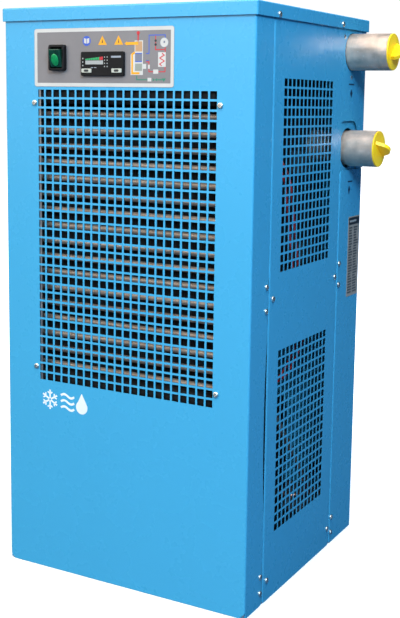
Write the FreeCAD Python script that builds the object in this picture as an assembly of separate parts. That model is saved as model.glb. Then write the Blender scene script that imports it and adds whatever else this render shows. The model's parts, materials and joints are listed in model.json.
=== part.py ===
import FreeCAD, Part
import math
import os

# Refrigerated compressed-air dryer in a free-standing sheet-metal cabinet.
# Millimetres. Origin: centre of the base's footprint, on the floor.
# +X is the side with the air pipes, -Y is the front with the controls, +Z is up.

V = FreeCAD.Vector
X_AXIS = V(1, 0, 0)
Y_AXIS = V(0, 1, 0)
Z_AXIS = V(0, 0, 1)

# ---- Cabinet -------------------------------------------------------------------------
WIDTH = 440.0
DEPTH = 424.0
HEIGHT = 902.0
SHEET = 1.5
BEND = 3.0
PANEL_BOTTOM = 1.0
PANEL_TOP = 898.0
FLANGE = 15.0
SEAM_GAP = 1.2
CORNER_CHAMFER = 9.0
SEAM_CHAMFER = 7.0
SEAM_NICK = 2.5
HALF_W = WIDTH / 2
HALF_D = DEPTH / 2
INNER_W = HALF_W - SHEET
INNER_D = HALF_D - SHEET
SLACK = 0.3

LID_SKIRT = 20.0
LID_OVERHANG = 3.0
LID_REAR_OVERHANG = 6.0
# The lid stands a little open at the back: degrees about its front bottom edge.
LID_TILT = 0.42

# The front sheet wraps round both corners as far as FRONT_SEAM; the rear sheet starts at REAR_SEAM.
FRONT_SEAM = -152.5
REAR_SEAM = 111.5
# The right return of the front sheet has sprung off its neighbour between these heights.
SPRING_Z = (115.0, 455.0)
SPRING_GAP = 8.0
# Above this height the right panel runs on to the back, over the air pipes.
RETURN_TOP = 653.5
NOTCH_TOP = 734.5
NOTCH_BACK = 186.0
NOTCH_CORNER = 26.0

# ---- Punched grilles: square holes on one square pitch -------------------------------
PITCH = 14.5
HOLE = 11.3
FRONT_COLUMNS = 22
FRONT_ROWS = 32
FRONT_FIRST_X = -150.2
FRONT_LOW_Z = 322.2
SIDE_COLUMNS = 13
SIDE_ROWS = 20
SIDE_FIRST_Y = -110.4
SIDE_LOW_ZS = (109.8, 516.9)

# ---- Base, rails ---------------------------------------------------------------------
BASE_SHEET = 2.0
BASE_WALL = 62.0
RAIL_LOW = 440.0
RAIL_HIGH = 506.0
RAIL_FRONT = -175.0
RAIL_BACK = 135.0
RAIL_FLANGE = 15.0
PLATE_Y = (98.0, 206.0)
PLATE_RECESS = 2.5
PLATE_TONGUE = (118.0, 12.0)
BRACKET_Y = (118.0, 204.0)
BRACKET_HEIGHT = 42.0

# ---- Screws --------------------------------------------------------------------------
SCREW_R = 2.4
SCREW_HOLE_R = 2.6
HEAD_R = 4.6
HEAD_HEIGHT = 2.6
SCREW_LENGTH = 7.0
RECESS = 5.0
RECESS_WIDTH = 1.1
FRONT_SCREWS = [(x, z) for x in (-162.3, 165.6) for z in (337.3, 757.0)]
SIDE_SCREWS = (
    [(-162.1, z) for z in (21.3, 47.9, 458.8, 495.0)]
    + [(-139.6, z) for z in (33.8, 474.0)]
    + [(100.3, z) for z in (31.8, 475.0)]
    + [(117.9, z) for z in (19.7, 47.4, 459.1, 495.3)]
)
LID_SCREWS = [(-144.4, 887.2), (96.1, 890.3)]
PLATE_RIVETS = [(113.9, 871.7), (148.4, 806.3)]

# ---- Air pipes: two inch tube --------------------------------------------------------
PIPE_R = 30.15
PIPE_INNER_R = 28.8
PIPE_BORE_R = 26.5
PIPE_Y = 148.8
UPPER_PIPE_Z = 848.0
LOWER_PIPE_Z = 689.0
UPPER_REACH = 70.0
LOWER_REACH = 51.0
PIPE_HOLE_R = 31.2
PLATE_HOLE_R = 33.5
PLUG_R = 29.8
PLUG_RIM = 2.4
PLUG_DEPTH = 14.0
PLUG_WALL = 1.8
WING_LENGTH = 40.0
WING_HEIGHT = 19.0
WING_THICK = 6.0
# Each wing's turn about the pipe's axis and its lean in its own plane.
UPPER_WING = (38.0, -28.0)
LOWER_WING = (-32.0, 0.0)

# ---- Control panel -------------------------------------------------------------------
LABEL = (-162.0, 89.0, 782.0, 869.5)
LABEL_THICK = 0.4
LABEL_CORNER = 4.0
SWITCH_X = -116.0
SWITCH_Z = 825.5
SWITCH_BEZEL = (30.0, 39.0, 7.0)
SWITCH_NECK = (27.0, 36.0)
SWITCH_CAVITY = (22.0, 31.8)
ROCKER_PIVOT_Y = -213.0
# Corners of the rocker's profile from its pivot, as (y, z): the upper end stands proud at rest.
ROCKER_TOP = (-12.4, 12.5)
ROCKER_BOTTOM = (-5.0, -14.6)
ROCKER_ROOTS = ((5.0, -13.0), (5.0, 12.5))
ROCKER_CROWN = 0.8
CONTROLLER_X = -33.5
CONTROLLER_Z = 816.0
CONTROLLER_BEZEL = (77.0, 36.0, 4.0)
CONTROLLER_BODY = (71.0, 29.0, 58.0)
BUTTON_XS = (-61.3, -7.3)
BUTTON_Z = 806.0
BUTTON_SIZE = (17.6, 6.0)
BUTTON_PROUD = 0.9
DATA_LABEL = (156.0, 207.0, 432.0, 571.0)
DATA_LABEL_THICK = 0.3

# ---- Condenser and fan ---------------------------------------------------------------
CORE_CENTRE_Z = 540.0
TUBE_ROWS = 17
TUBE_PITCH = 25.0
TUBE_COLUMN_YS = (-189.0, -167.0, -145.0)
TUBE_R = 4.8
TUBE_HALF = 176.0
END_PLATE_X = 172.0
FIN_COUNT = 32
FIN_THICK = 0.6
FIN_FRONT = -183.9
FIN_BACK = -136.0
END_LIPS = {-1: 20.0, 1: 11.0}
SEAL_HALF_W = 156.0
SEAL_BACK = -184.4
SEAL_ZS = ((312.0, 333.0), (755.7, 778.0))
SHROUD_HALF_W = 170.0
SHROUD_LOW = 312.0
SHROUD_HIGH = 778.0
SHROUD_Y = (-133.0, -98.0)
FAN_R = 124.0
FAN_OPENING_R = 130.0
FAN_BLADES = 5
FAN_Y = -103.0
HUB_R = 38.0
SHAFT_R = 4.0
BLADE_PITCH = 32.0
GUARD_Y = -75.5
GUARD_RINGS = (62.0, 78.0, 94.0, 110.0, 124.0, 140.0)
GUARD_WIRE_R = 1.6
MOTOR_R = 43.0
MOTOR_LENGTH = 70.0

# ---- Heat exchanger ------------------------------------------------------------------
CORE_X = (-150.0, 140.0)
CORE_Y = (110.0, 186.0)
CORE_Z = (452.0, 880.0)
LAGGING = 16.0
CHAMBERS = ((458.0, 590.0), (596.0, 730.0), (736.0, 874.0))

# ---- Compressor ----------------------------------------------------------------------
COMPRESSOR_X = 60.0
COMPRESSOR_Y = 68.0
COMPRESSOR_R = 84.0
COMPRESSOR_LOW = 29.0
COMPRESSOR_HIGH = 275.0
SHELL_WALL = 9.0
DOME_R = 125.0
KNUCKLE_R = 14.0
FOOT_HALF = 88.0
FOOT_Z = (24.0, 28.0)
FOOT_BOLT_R = 4.0
GROMMET_R = 14.0
PORT_Z = 225.0
DISCHARGE_Z = 92.0
RISER_X = 190.0
RISER_Y = -72.0

# ---- Refrigerant circuit: x, y, low, high of the filter; x, y, z of the bypass valve -
DRYER = (-120.0, 20.0, 200.0, 320.0)
DRYER_R = 21.0
BYPASS = (122.0, 37.0, 400.0)

# ---- Electrical box: x, y and z limits -----------------------------------------------
BOX = (-150.0, 60.0, -124.0, 40.0, 800.0, 866.0)
BOX_WALL = 3.0

# ---- Condensate drain ----------------------------------------------------------------
DRAIN_X = -60.0
DRAIN_Y = 148.0
VALVE_Z = 352.0
LEVER_LENGTH = 62.0
TIMER_X = (-166.0, -122.0)
TIMER_Y = (124.0, 172.0)
TIMER_Z = (244.0, 300.0)
OUTLET_Z = 95.0
OUTLET_R = 8.0
GLAND_X = 150.0
GLAND_R = 10.0
LEAD_R = 4.5
HOLE_FIT = 0.2


# ---- Small shape helpers -------------------------------------------------------------
def block(x0, x1, y0, y1, z0, z1):
    return Part.makeBox(x1 - x0, y1 - y0, z1 - z0, V(x0, y0, z0))


def rod(x, y, z, radius, length, axis):
    return Part.makeCylinder(radius, length, V(x, y, z), axis)


def tube(x, y, z, radius, bore, length, axis):
    return rod(x, y, z, radius, length, axis).cut(rod(x, y, z, bore, length, axis))


def join(shapes):
    return shapes[0].multiFuse(shapes[1:]).removeSplitter()


def along(edge, axis):
    """True for a straight edge that is parallel to the axis."""
    if edge.Curve.TypeId != "Part::GeomLine":
        return False
    return abs(edge.Curve.Direction.dot(axis)) > 0.999


def soften(shape, radius, axis):
    """Round every edge of the shape that is parallel to the axis."""
    return shape.makeFillet(radius, [e for e in shape.Edges if along(e, axis)])


def prism(points, direction):
    return Part.Face(Part.makePolygon([V(*p) for p in points] + [V(*points[0])])).extrude(direction)


def hexagon(x, y, z, across, length, axis):
    """Hexagonal bar, across flats, along one of the three axes."""
    reach = across / math.sqrt(3)
    corners = []
    for step in range(6):
        a = math.radians(60 * step)
        u = reach * math.cos(a)
        v = reach * math.sin(a)
        corners.append((x, y + u, z + v) if axis.x else ((x + u, y, z + v) if axis.y else (x + u, y + v, z)))
    return prism(corners, axis * length)


def rounded_path(points, radius):
    """Straight runs through the points, joined by tangent arcs of one radius."""
    points = [V(*p) for p in points]
    edges = []
    start = points[0]
    for before, corner, after in zip(points, points[1:], points[2:]):
        into = (corner - before).normalize()
        out = (after - corner).normalize()
        half_turn = into.getAngle(out) / 2
        setback = radius * math.tan(half_turn)
        first = corner - into * setback
        last = corner + out * setback
        to_centre = (out - into).normalize()
        middle = corner + to_centre * (radius / math.cos(half_turn) - radius)
        if (first - start).Length > 0.01:
            edges.append(Part.LineSegment(start, first).toShape())
        edges.append(Part.Arc(first, middle, last).toShape())
        start = last
    edges.append(Part.LineSegment(start, points[-1]).toShape())
    return Part.Wire(edges)


def bent_rod(points, radius, bend_r):
    path = rounded_path(points, bend_r)
    aim = V(*points[1]) - V(*points[0])
    ring = Part.Wire([Part.Circle(V(*points[0]), aim, radius).toShape()])
    return path.makePipeShell([ring], True, True)


def bent_tube(points, tube_r, bore, bend_r):
    return bent_rod(points, tube_r, bend_r).cut(bent_rod(points, bore, bend_r))


def save(name, shape):
    if shape.ShapeType == "Compound" and len(shape.Solids) == 1:
        shape = shape.Solids[0]
    shape.exportStep("parts/" + name + ".step")


# ---- Sheet metal ---------------------------------------------------------------------
def folded_ring(x0, x1, y0, y1, z0, z1):
    """Upright rectangular sheet-metal ring with rounded bends, before its open side is cut away."""
    outer = soften(block(x0, x1, y0, y1, z0, z1), BEND, Z_AXIS)
    inner = block(x0 + SHEET, x1 - SHEET, y0 + SHEET, y1 - SHEET, z0 - 1, z1 + 1)
    return outer.cut(soften(inner, BEND - SHEET, Z_AXIS))


def punched_plate(columns, rows, first, low, place):
    """Flat plate of square holes; place turns (along, thickness, height) into a point."""
    edge = PITCH / 2
    last = first + (columns - 1) * PITCH
    top = low + (rows - 1) * PITCH

    def outline(a0, a1, h0, h1):
        corners = [(a0, h0), (a1, h0), (a1, h1), (a0, h1)]
        return Part.makePolygon([place(a, 0, h) for a, h in corners + corners[:1]])

    wires = [outline(first - edge, last + edge, low - edge, top + edge)]
    for column in range(columns):
        for row in range(rows):
            a = first + column * PITCH
            h = low + row * PITCH
            wires.append(outline(a - HOLE / 2, a + HOLE / 2, h - HOLE / 2, h + HOLE / 2))
    sheet = Part.Face(wires, "Part::FaceMakerBullseye")
    return sheet.extrude(place(0, SHEET, 0) - place(0, 0, 0))


def grille_window(columns, rows, first, low):
    """Low and high corners of a punched field, as (along0, along1, height0, height1)."""
    edge = PITCH / 2
    return (first - edge, first + (columns - 0.5) * PITCH, low - edge, low + (rows - 0.5) * PITCH)


def corner_cut(side, y, z, size, toward_y):
    """Wedge that takes the bottom corner off a side sheet at the seam."""
    points = [(0, y, z), (0, y + toward_y * size, z), (0, y, z + size)]
    wedge = prism(points, X_AXIS * (FLANGE + 10))
    return wedge.translated(V(HALF_W - FLANGE - 5 if side > 0 else -HALF_W - 5, 0, 0))


def side_screw_holes(side):
    """Clearance holes of the screws that go in through one side."""
    places = SIDE_SCREWS + LID_SCREWS
    return [rod(side * (HALF_W + 5), y, z, SCREW_HOLE_R, 14, X_AXIS * -side) for y, z in places]


def flange_reliefs():
    """Gaps in the inward flanges where the base wall and the rails pass them."""
    cutters = []
    for side in (-1, 1):
        x0 = side * (HALF_W - FLANGE - 5)
        x1 = side * INNER_W
        low, high = min(x0, x1), max(x0, x1)
        for z0, z1 in ((0, BASE_WALL + 2), (RAIL_LOW - 2, RAIL_HIGH + 2)):
            cutters.append(block(low, high, FRONT_SEAM - 6, FRONT_SEAM + 6, z0, z1))
            cutters.append(block(low, high, REAR_SEAM - 6, REAR_SEAM + 6, z0, z1))
    return cutters


def front_panel():
    back = FRONT_SEAM - SEAM_GAP / 2
    panel = folded_ring(-HALF_W, HALF_W, -HALF_D, back, PANEL_BOTTOM, PANEL_TOP)
    opening = HALF_W - FLANGE
    x0, x1, z0, z1 = grille_window(FRONT_COLUMNS, FRONT_ROWS, FRONT_FIRST_X, FRONT_LOW_Z)
    cutters = [
        block(-opening, opening, back - 3, back + 1, 0, HEIGHT),
        block(x0, x1, -HALF_D - 1, -INNER_D + 1, z0, z1),
        opening_block(SWITCH_X, SWITCH_Z, SWITCH_NECK),
        opening_block(CONTROLLER_X, CONTROLLER_Z, CONTROLLER_BODY),
    ]
    for side in (-1, 1):
        edge = side * HALF_W
        foot = PANEL_BOTTOM
        face_corner = [(edge, -HALF_D - 1, foot), (edge - side * CORNER_CHAMFER, -HALF_D - 1, foot),
                       (edge, -HALF_D - 1, foot + CORNER_CHAMFER)]
        cutters.append(prism(face_corner, Y_AXIS * (BEND + 1)))
        cutters.append(corner_cut(side, back, foot, SEAM_CHAMFER, -1))
    cutters += [rod(x, -HALF_D - 1, z, SCREW_HOLE_R, 6, Y_AXIS) for x, z in FRONT_SCREWS]
    cutters.append(sprung_edge(back))
    return panel.cut(cutters + side_screw_holes(-1) + side_screw_holes(1) + flange_reliefs())


def sprung_edge(back):
    """Shallow bow cut out of the right return's edge, where the sheet has sprung open."""
    low, high = SPRING_Z
    radius = ((high - low) ** 2 / 4 + SPRING_GAP ** 2) / (2 * SPRING_GAP)
    centre_y = back - SPRING_GAP + radius
    return rod(HALF_W - FLANGE - 2, centre_y, (low + high) / 2, radius, FLANGE + 4, X_AXIS)


def opening_block(x, z, size):
    """Cut-out through the front sheet and the label, SLACK wider than what sits in it."""
    half_w = size[0] / 2 + SLACK
    half_h = size[1] / 2 + SLACK
    return block(x - half_w, x + half_w, -HALF_D - 1, -INNER_D + 1, z - half_h, z + half_h)


def front_grille():
    return punched_plate(FRONT_COLUMNS, FRONT_ROWS, FRONT_FIRST_X, FRONT_LOW_Z,
                         lambda a, t, h: V(a, -HALF_D + t, h))


def side_grilles(side):
    plates = [
        punched_plate(SIDE_COLUMNS, SIDE_ROWS, SIDE_FIRST_Y, low,
                      lambda a, t, h: V(side * (HALF_W - t), a, h))
        for low in SIDE_LOW_ZS
    ]
    return Part.Compound(plates)


def side_panel(side):
    """Sheet between the two seams, with both edges folded inwards."""
    front = FRONT_SEAM + SEAM_GAP / 2
    back = REAR_SEAM - SEAM_GAP / 2
    edge = side * HALF_W
    fold = side * (HALF_W - FLANGE)
    x0, x1 = sorted((edge, fold - side * 5))
    panel = folded_ring(x0, x1, front, back, PANEL_BOTTOM, PANEL_TOP)
    cut0, cut1 = sorted((fold, fold - side * 10))
    panel = panel.cut(block(cut0, cut1, front - 1, back + 1, 0, HEIGHT))
    skin0, skin1 = sorted((edge + side, side * (INNER_W - 1)))
    cutters = []
    for low in SIDE_LOW_ZS:
        y0, y1, z0, z1 = grille_window(SIDE_COLUMNS, SIDE_ROWS, SIDE_FIRST_Y, low)
        cutters.append(block(skin0, skin1, y0, y1, z0, z1))
    cutters.append(corner_cut(side, front, PANEL_BOTTOM, SEAM_NICK, 1))
    cutters.append(corner_cut(side, back, PANEL_BOTTOM, SEAM_CHAMFER, -1))
    return panel.cut(cutters + side_screw_holes(side) + flange_reliefs())


def right_panel():
    """The right sheet also runs on to the back above the lower pipe, with a notch round that pipe."""
    back = REAR_SEAM - SEAM_GAP / 2
    panel = side_panel(1)
    panel = panel.cut(block(HALF_W - FLANGE - 1, HALF_W + 1, back - BEND, back + 1, RETURN_TOP, HEIGHT))
    wing = block(INNER_W, HALF_W, back - BEND, HALF_D, RETURN_TOP, PANEL_TOP)
    notch = block(INNER_W - 1, HALF_W + 1, REAR_SEAM - 15, NOTCH_BACK, RETURN_TOP - 30, NOTCH_TOP)
    notch = soften(notch, NOTCH_CORNER, X_AXIS)
    notch = notch.cut(block(INNER_W - 2, HALF_W + 2, REAR_SEAM - 20, back, RETURN_TOP - 40, NOTCH_TOP + 5))
    wing = wing.cut([notch, rod(INNER_W - 1, PIPE_Y, UPPER_PIPE_Z, PIPE_HOLE_R, 4, X_AXIS)])
    wing = wing.cut([rod(INNER_W - 1, y, z, SCREW_HOLE_R, 4, X_AXIS) for y, z in PLATE_RIVETS])
    return join([panel, wing])


def rear_panel():
    front = REAR_SEAM + SEAM_GAP / 2
    panel = folded_ring(-HALF_W, HALF_W, front, HALF_D, PANEL_BOTTOM, PANEL_TOP)
    opening = HALF_W - FLANGE
    top = RETURN_TOP - SEAM_GAP
    radius = 8.0
    rounding = block(INNER_W - 20, HALF_W + 1, front - 1, front + radius, top - radius, top + 1)
    rounding = rounding.cut(rod(INNER_W - 20, front + radius, top - radius, radius, 30, X_AXIS))
    cutters = [
        block(-opening, opening, front - 1, front + 3, 0, HEIGHT),
        block(INNER_W - SLACK, HALF_W + 1, front - 1, HALF_D + 1, top, HEIGHT),
        block(opening - 1, INNER_W, front - 1, front + 10, top, HEIGHT),
        rounding,
        rod(DRAIN_X, HALF_D - 5, OUTLET_Z, OUTLET_R + HOLE_FIT, 10, Y_AXIS),
        rod(GLAND_X, HALF_D - 5, OUTLET_Z, GLAND_R + HOLE_FIT, 10, Y_AXIS),
    ]
    for side in (-1, 1):
        cutters.append(corner_cut(side, front, PANEL_BOTTOM, SEAM_NICK, 1))
    return panel.cut(cutters + side_screw_holes(-1) + side_screw_holes(1) + flange_reliefs())


def lid():
    """Folded tray over the sheets, raised at the back; its screw holes are level with the screws."""
    half_w = HALF_W + LID_OVERHANG
    front = -HALF_D - LID_OVERHANG
    back = HALF_D + LID_REAR_OVERHANG
    low = HEIGHT - LID_SKIRT
    outer = block(-half_w, half_w, front, back, low, HEIGHT)
    top_edges = [e for e in outer.Edges if e.BoundBox.ZMin > HEIGHT - 1 or along(e, Z_AXIS)]
    outer = outer.makeFillet(2.5, top_edges)
    inner = block(-half_w + SHEET, half_w - SHEET, front + SHEET, back - SHEET, low - 1, HEIGHT - SHEET)
    tray = outer.cut(soften(inner, 1.0, Z_AXIS))
    tray.rotate(V(0, front, low), X_AXIS, LID_TILT)
    holes = []
    for side in (-1, 1):
        holes += [rod(side * (half_w + 1), y, z, SCREW_HOLE_R, 4, X_AXIS * -side) for y, z in LID_SCREWS]
    return tray.cut(holes)


def base_plate():
    half_w = INNER_W - SLACK
    half_d = INNER_D - SLACK
    outer = soften(block(-half_w, half_w, -half_d, half_d, 0, BASE_WALL), BEND, Z_AXIS)
    inner = block(-half_w + BASE_SHEET, half_w - BASE_SHEET, -half_d + BASE_SHEET, half_d - BASE_SHEET,
                  BASE_SHEET, BASE_WALL + 1)
    return outer.cut([inner] + side_screw_holes(-1) + side_screw_holes(1))


def side_rails():
    """Channel across each side at mid height, behind the band between the two grilles."""
    rails = []
    for side in (-1, 1):
        web = side * (INNER_W - SLACK)
        lip = side * (INNER_W - SLACK - RAIL_FLANGE)
        x0, x1 = sorted((web, lip))
        rail = block(x0, x1, RAIL_FRONT, RAIL_BACK, RAIL_LOW, RAIL_HIGH)
        i0, i1 = sorted((web - side * BASE_SHEET, lip - side))
        hollow = block(i0, i1, RAIL_FRONT - 1, RAIL_BACK + 1, RAIL_LOW + BASE_SHEET, RAIL_HIGH - BASE_SHEET)
        rails.append(rail.cut([hollow] + side_screw_holes(side)))
    return Part.Compound(rails)


def pipe_plate():
    """Plate close behind the notch, with the lower pipe through it and a tongue down behind the return."""
    x1 = INNER_W - PLATE_RECESS
    x0 = x1 - SHEET
    tongue_y, tongue_drop = PLATE_TONGUE
    low = RETURN_TOP + 1
    plate = block(x0, x1, *PLATE_Y, low, NOTCH_TOP + 14)
    tongue = block(x0, x1, tongue_y, PLATE_Y[1], RETURN_TOP - tongue_drop, low)
    return join([plate, tongue]).cut(rod(x0 - 2, PIPE_Y, LOWER_PIPE_Z, PLATE_HOLE_R, 5, X_AXIS))


def exchanger_bracket():
    half = INNER_W - SLACK - 2
    top = CORE_Z[0] - LAGGING - 1
    low = top - BRACKET_HEIGHT
    front, back = BRACKET_Y
    wall = BASE_SHEET
    beam = block(-half, half, front, back, low, top)
    hollow = block(-half + wall, half - wall, front - 1, back - wall, low - 1, top - wall)
    return beam.cut([hollow, rod(DRAIN_X, DRAIN_Y, top - 5, 8, 10, Z_AXIS)])


# ---- Fasteners -----------------------------------------------------------------------
def pan_screw(x, y, z, inward):
    """Pan-head screw with a cross recess; inward points from the head into the sheet."""
    shank = Part.makeCylinder(SCREW_R, SCREW_LENGTH, V(0, 0, 0), Z_AXIS)
    head = Part.makeCylinder(HEAD_R, HEAD_HEIGHT, V(0, 0, -HEAD_HEIGHT), Z_AXIS)
    head = head.makeFillet(1.9, [e for e in head.Edges if e.BoundBox.ZMax < -HEAD_HEIGHT + 0.01])
    half = RECESS / 2
    depth = 1.4
    slots = [
        block(-half, half, -RECESS_WIDTH / 2, RECESS_WIDTH / 2, -HEAD_HEIGHT - 1, -HEAD_HEIGHT + depth),
        block(-RECESS_WIDTH / 2, RECESS_WIDTH / 2, -half, half, -HEAD_HEIGHT - 1, -HEAD_HEIGHT + depth),
    ]
    screw = join([head, shank]).cut(slots)
    screw.Placement = FreeCAD.Placement(V(x, y, z), FreeCAD.Rotation(Z_AXIS, inward))
    return screw


def screws_on_sides(places, face):
    screws = []
    for side in (-1, 1):
        screws += [pan_screw(side * face, y, z, X_AXIS * -side) for y, z in places]
    return screws


def cabinet_screws():
    screws = [pan_screw(x, -HALF_D, z, Y_AXIS) for x, z in FRONT_SCREWS]
    screws += screws_on_sides(LID_SCREWS, HALF_W + LID_OVERHANG)
    return Part.Compound(screws + screws_on_sides(SIDE_SCREWS, HALF_W) + plate_rivets())


def plate_rivets():
    """Two domed rivets beside the upper pipe."""
    rivets = []
    for y, z in PLATE_RIVETS:
        shank = rod(INNER_W - 2, y, z, SCREW_R, 4, X_AXIS)
        ball = Part.makeSphere(HEAD_R, V(HALF_W - 2.4, y, z))
        dome = ball.cut(block(HALF_W - 8, HALF_W, y - 6, y + 6, z - 6, z + 6))
        rivets.append(join([shank, dome]))
    return rivets


# ---- Labels --------------------------------------------------------------------------
def control_label():
    x0, x1, z0, z1 = LABEL
    label = soften(block(x0, x1, -HALF_D - LABEL_THICK, -HALF_D, z0, z1), LABEL_CORNER, Y_AXIS)
    return label.cut([opening_block(SWITCH_X, SWITCH_Z, SWITCH_NECK),
                      opening_block(CONTROLLER_X, CONTROLLER_Z, CONTROLLER_BODY)])


def data_label():
    return soften(block(HALF_W, HALF_W + DATA_LABEL_THICK, *DATA_LABEL), 1.5, X_AXIS)


# ---- Controls ------------------------------------------------------------------------
def front_box(x, z, size, y0, y1):
    half_w = size[0] / 2
    half_h = size[1] / 2
    return block(x - half_w, x + half_w, y0, y1, z - half_h, z + half_h)


def switch_housing():
    face = -HALF_D - LABEL_THICK
    bezel = soften(front_box(SWITCH_X, SWITCH_Z, SWITCH_BEZEL, face - SWITCH_BEZEL[2], face), 3.5, Y_AXIS)
    bezel = bezel.makeFillet(1.5, [e for e in bezel.Edges if e.BoundBox.YMax < face - SWITCH_BEZEL[2] + 0.01])
    neck = front_box(SWITCH_X, SWITCH_Z, SWITCH_NECK, face, -HALF_D + 26)
    cavity = front_box(SWITCH_X, SWITCH_Z, SWITCH_CAVITY, face - 10, -HALF_D + 12)
    terminals = [block(SWITCH_X + dx - 0.4, SWITCH_X + dx + 0.4, -HALF_D + 26, -HALF_D + 36,
                       SWITCH_Z + dz - 3, SWITCH_Z + dz + 3) for dx in (-7, 7) for dz in (-9, 9)]
    return join([bezel, neck] + terminals).cut(cavity)


def switch_rocker():
    """Rocker in its rest position: a slightly crowned face, higher at its upper end."""
    half = SWITCH_CAVITY[0] / 2 - SLACK
    x = SWITCH_X - half

    def place(corner):
        return V(x, ROCKER_PIVOT_Y + corner[0], SWITCH_Z + corner[1])

    top, bottom = place(ROCKER_TOP), place(ROCKER_BOTTOM)
    low_root, high_root = (place(corner) for corner in ROCKER_ROOTS)
    face = (top - bottom).normalize()
    crown = (top + bottom) / 2 + V(0, -face.z, face.y) * ROCKER_CROWN
    outline = Part.Wire([
        Part.Arc(bottom, crown, top).toShape(),
        Part.LineSegment(top, high_root).toShape(),
        Part.LineSegment(high_root, low_root).toShape(),
        Part.LineSegment(low_root, bottom).toShape(),
    ])
    rocker = Part.Face(outline).extrude(X_AXIS * (2 * half))
    front_edges = [e for e in rocker.Edges if e.BoundBox.YMax < bottom.y + 0.1]
    return rocker.makeFillet(1.2, front_edges)


def controller_housing():
    face = -HALF_D - LABEL_THICK
    front = face - CONTROLLER_BEZEL[2]
    bezel = soften(front_box(CONTROLLER_X, CONTROLLER_Z, CONTROLLER_BEZEL, front, face), 2.5, Y_AXIS)
    bezel = bezel.makeFillet(0.8, [e for e in bezel.Edges if e.BoundBox.YMax < front + 0.01])
    body = front_box(CONTROLLER_X, CONTROLLER_Z, CONTROLLER_BODY, face, -HALF_D + CONTROLLER_BODY[2])
    pockets = []
    pocket = (BUTTON_SIZE[0] + 2 * SLACK, BUTTON_SIZE[1] + 2 * SLACK)
    for x in BUTTON_XS:
        pockets.append(front_box(x, BUTTON_Z, pocket, front - 1, front + 2.6))
    return join([bezel, body]).cut(pockets)


def controller_button(x):
    front = -HALF_D - LABEL_THICK - CONTROLLER_BEZEL[2]
    key = soften(front_box(x, BUTTON_Z, BUTTON_SIZE, front - BUTTON_PROUD, front + 1.5), 1.2, Y_AXIS)
    return key.makeFillet(0.35, [e for e in key.Edges if e.BoundBox.YMax < front - BUTTON_PROUD + 0.01])


# ---- Air pipes and their plugs -------------------------------------------------------
def air_pipe(z, reach):
    """Pipe from the exchanger to its open end; the stretch outside the cabinet takes the customer's coupling."""
    x0 = CORE_X[1]
    wall = HALF_W + 1
    end = HALF_W + reach
    outer = rod(wall, PIPE_Y, z, PIPE_R, end - wall, X_AXIS)
    outer = outer.makeChamfer(0.8, [e for e in outer.Edges if e.BoundBox.XMin > end - 0.01])
    inner = rod(x0, PIPE_Y, z, PIPE_INNER_R, wall - x0, X_AXIS)
    return join([outer, inner]).cut(rod(x0 - 1, PIPE_Y, z, PIPE_BORE_R, end - x0 + 2, X_AXIS))


def pipe_plug(z, reach, wing_pose):
    """Push-in plastic plug: hollow skirt, flat rim and a half-moon finger wing."""
    turn, lean = wing_pose
    mouth = HALF_W + reach
    skirt = tube(mouth - PLUG_DEPTH, PIPE_Y, z, PIPE_BORE_R - SLACK, PIPE_BORE_R - SLACK - PLUG_WALL,
                 PLUG_DEPTH, X_AXIS)
    rim = rod(mouth, PIPE_Y, z, PLUG_R, PLUG_RIM, X_AXIS)
    rim = rim.makeFillet(0.7, [e for e in rim.Edges if e.BoundBox.XMin > mouth + PLUG_RIM - 0.01])
    half = WING_LENGTH / 2
    face = mouth + PLUG_RIM - 0.2
    sunk = WING_HEIGHT if lean else 0.0
    root = V(face - sunk, -half, 0)
    shoulder = V(face + WING_HEIGHT * 0.72, -half * 0.62, 0)
    crown = V(face + WING_HEIGHT, 0, 0)
    far = V(root.x, half, 0)
    far_shoulder = V(shoulder.x, -shoulder.y, 0)
    outline = Part.Wire([
        Part.LineSegment(far, root).toShape(),
        Part.LineSegment(root, shoulder).toShape(),
        Part.Arc(shoulder, crown, far_shoulder).toShape(),
        Part.LineSegment(far_shoulder, far).toShape(),
    ])
    wing = Part.Face(outline).extrude(Z_AXIS * WING_THICK).translated(V(0, 0, -WING_THICK / 2))
    wing.rotate(V(face, 0, 0), Z_AXIS, lean)
    wing = wing.common(block(face, face + 2 * WING_HEIGHT, -PIPE_R, PIPE_R, -PIPE_R, PIPE_R))
    wing.rotate(V(0, 0, 0), X_AXIS, turn)
    wing = wing.translated(V(0, PIPE_Y, z))
    return join([skirt, rim, wing])


# ---- Heat exchanger ------------------------------------------------------------------
def heat_exchanger():
    core = block(*CORE_X, *CORE_Y, *CORE_Z)
    wall = 5.0
    cells = 14
    x0 = CORE_X[0] + wall
    width = (CORE_X[1] - wall - x0) / cells
    divider = 2.0
    cutters = []
    for z0, z1 in CHAMBERS:
        for cell in range(cells):
            left = x0 + cell * width
            cutters.append(block(left, left + width - divider, CORE_Y[0] + wall, CORE_Y[1] - wall, z0, z1))
        cutters.append(block(x0, CORE_X[1] - wall, CORE_Y[0] + 25, CORE_Y[1] - 25, z0 + 8, z0 + 20))
    cutters.append(rod(x0 + 30, 130, CORE_Z[0] + 20, 7, 400, Z_AXIS))
    for z in (UPPER_PIPE_Z, LOWER_PIPE_Z):
        cutters.append(rod(CORE_X[1] - wall - 8, PIPE_Y, z, PIPE_BORE_R, 20, X_AXIS))
    cutters.append(rod(DRAIN_X, DRAIN_Y, CORE_Z[0] - 1, 5, 20, Z_AXIS))
    return core.cut(cutters)


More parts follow.
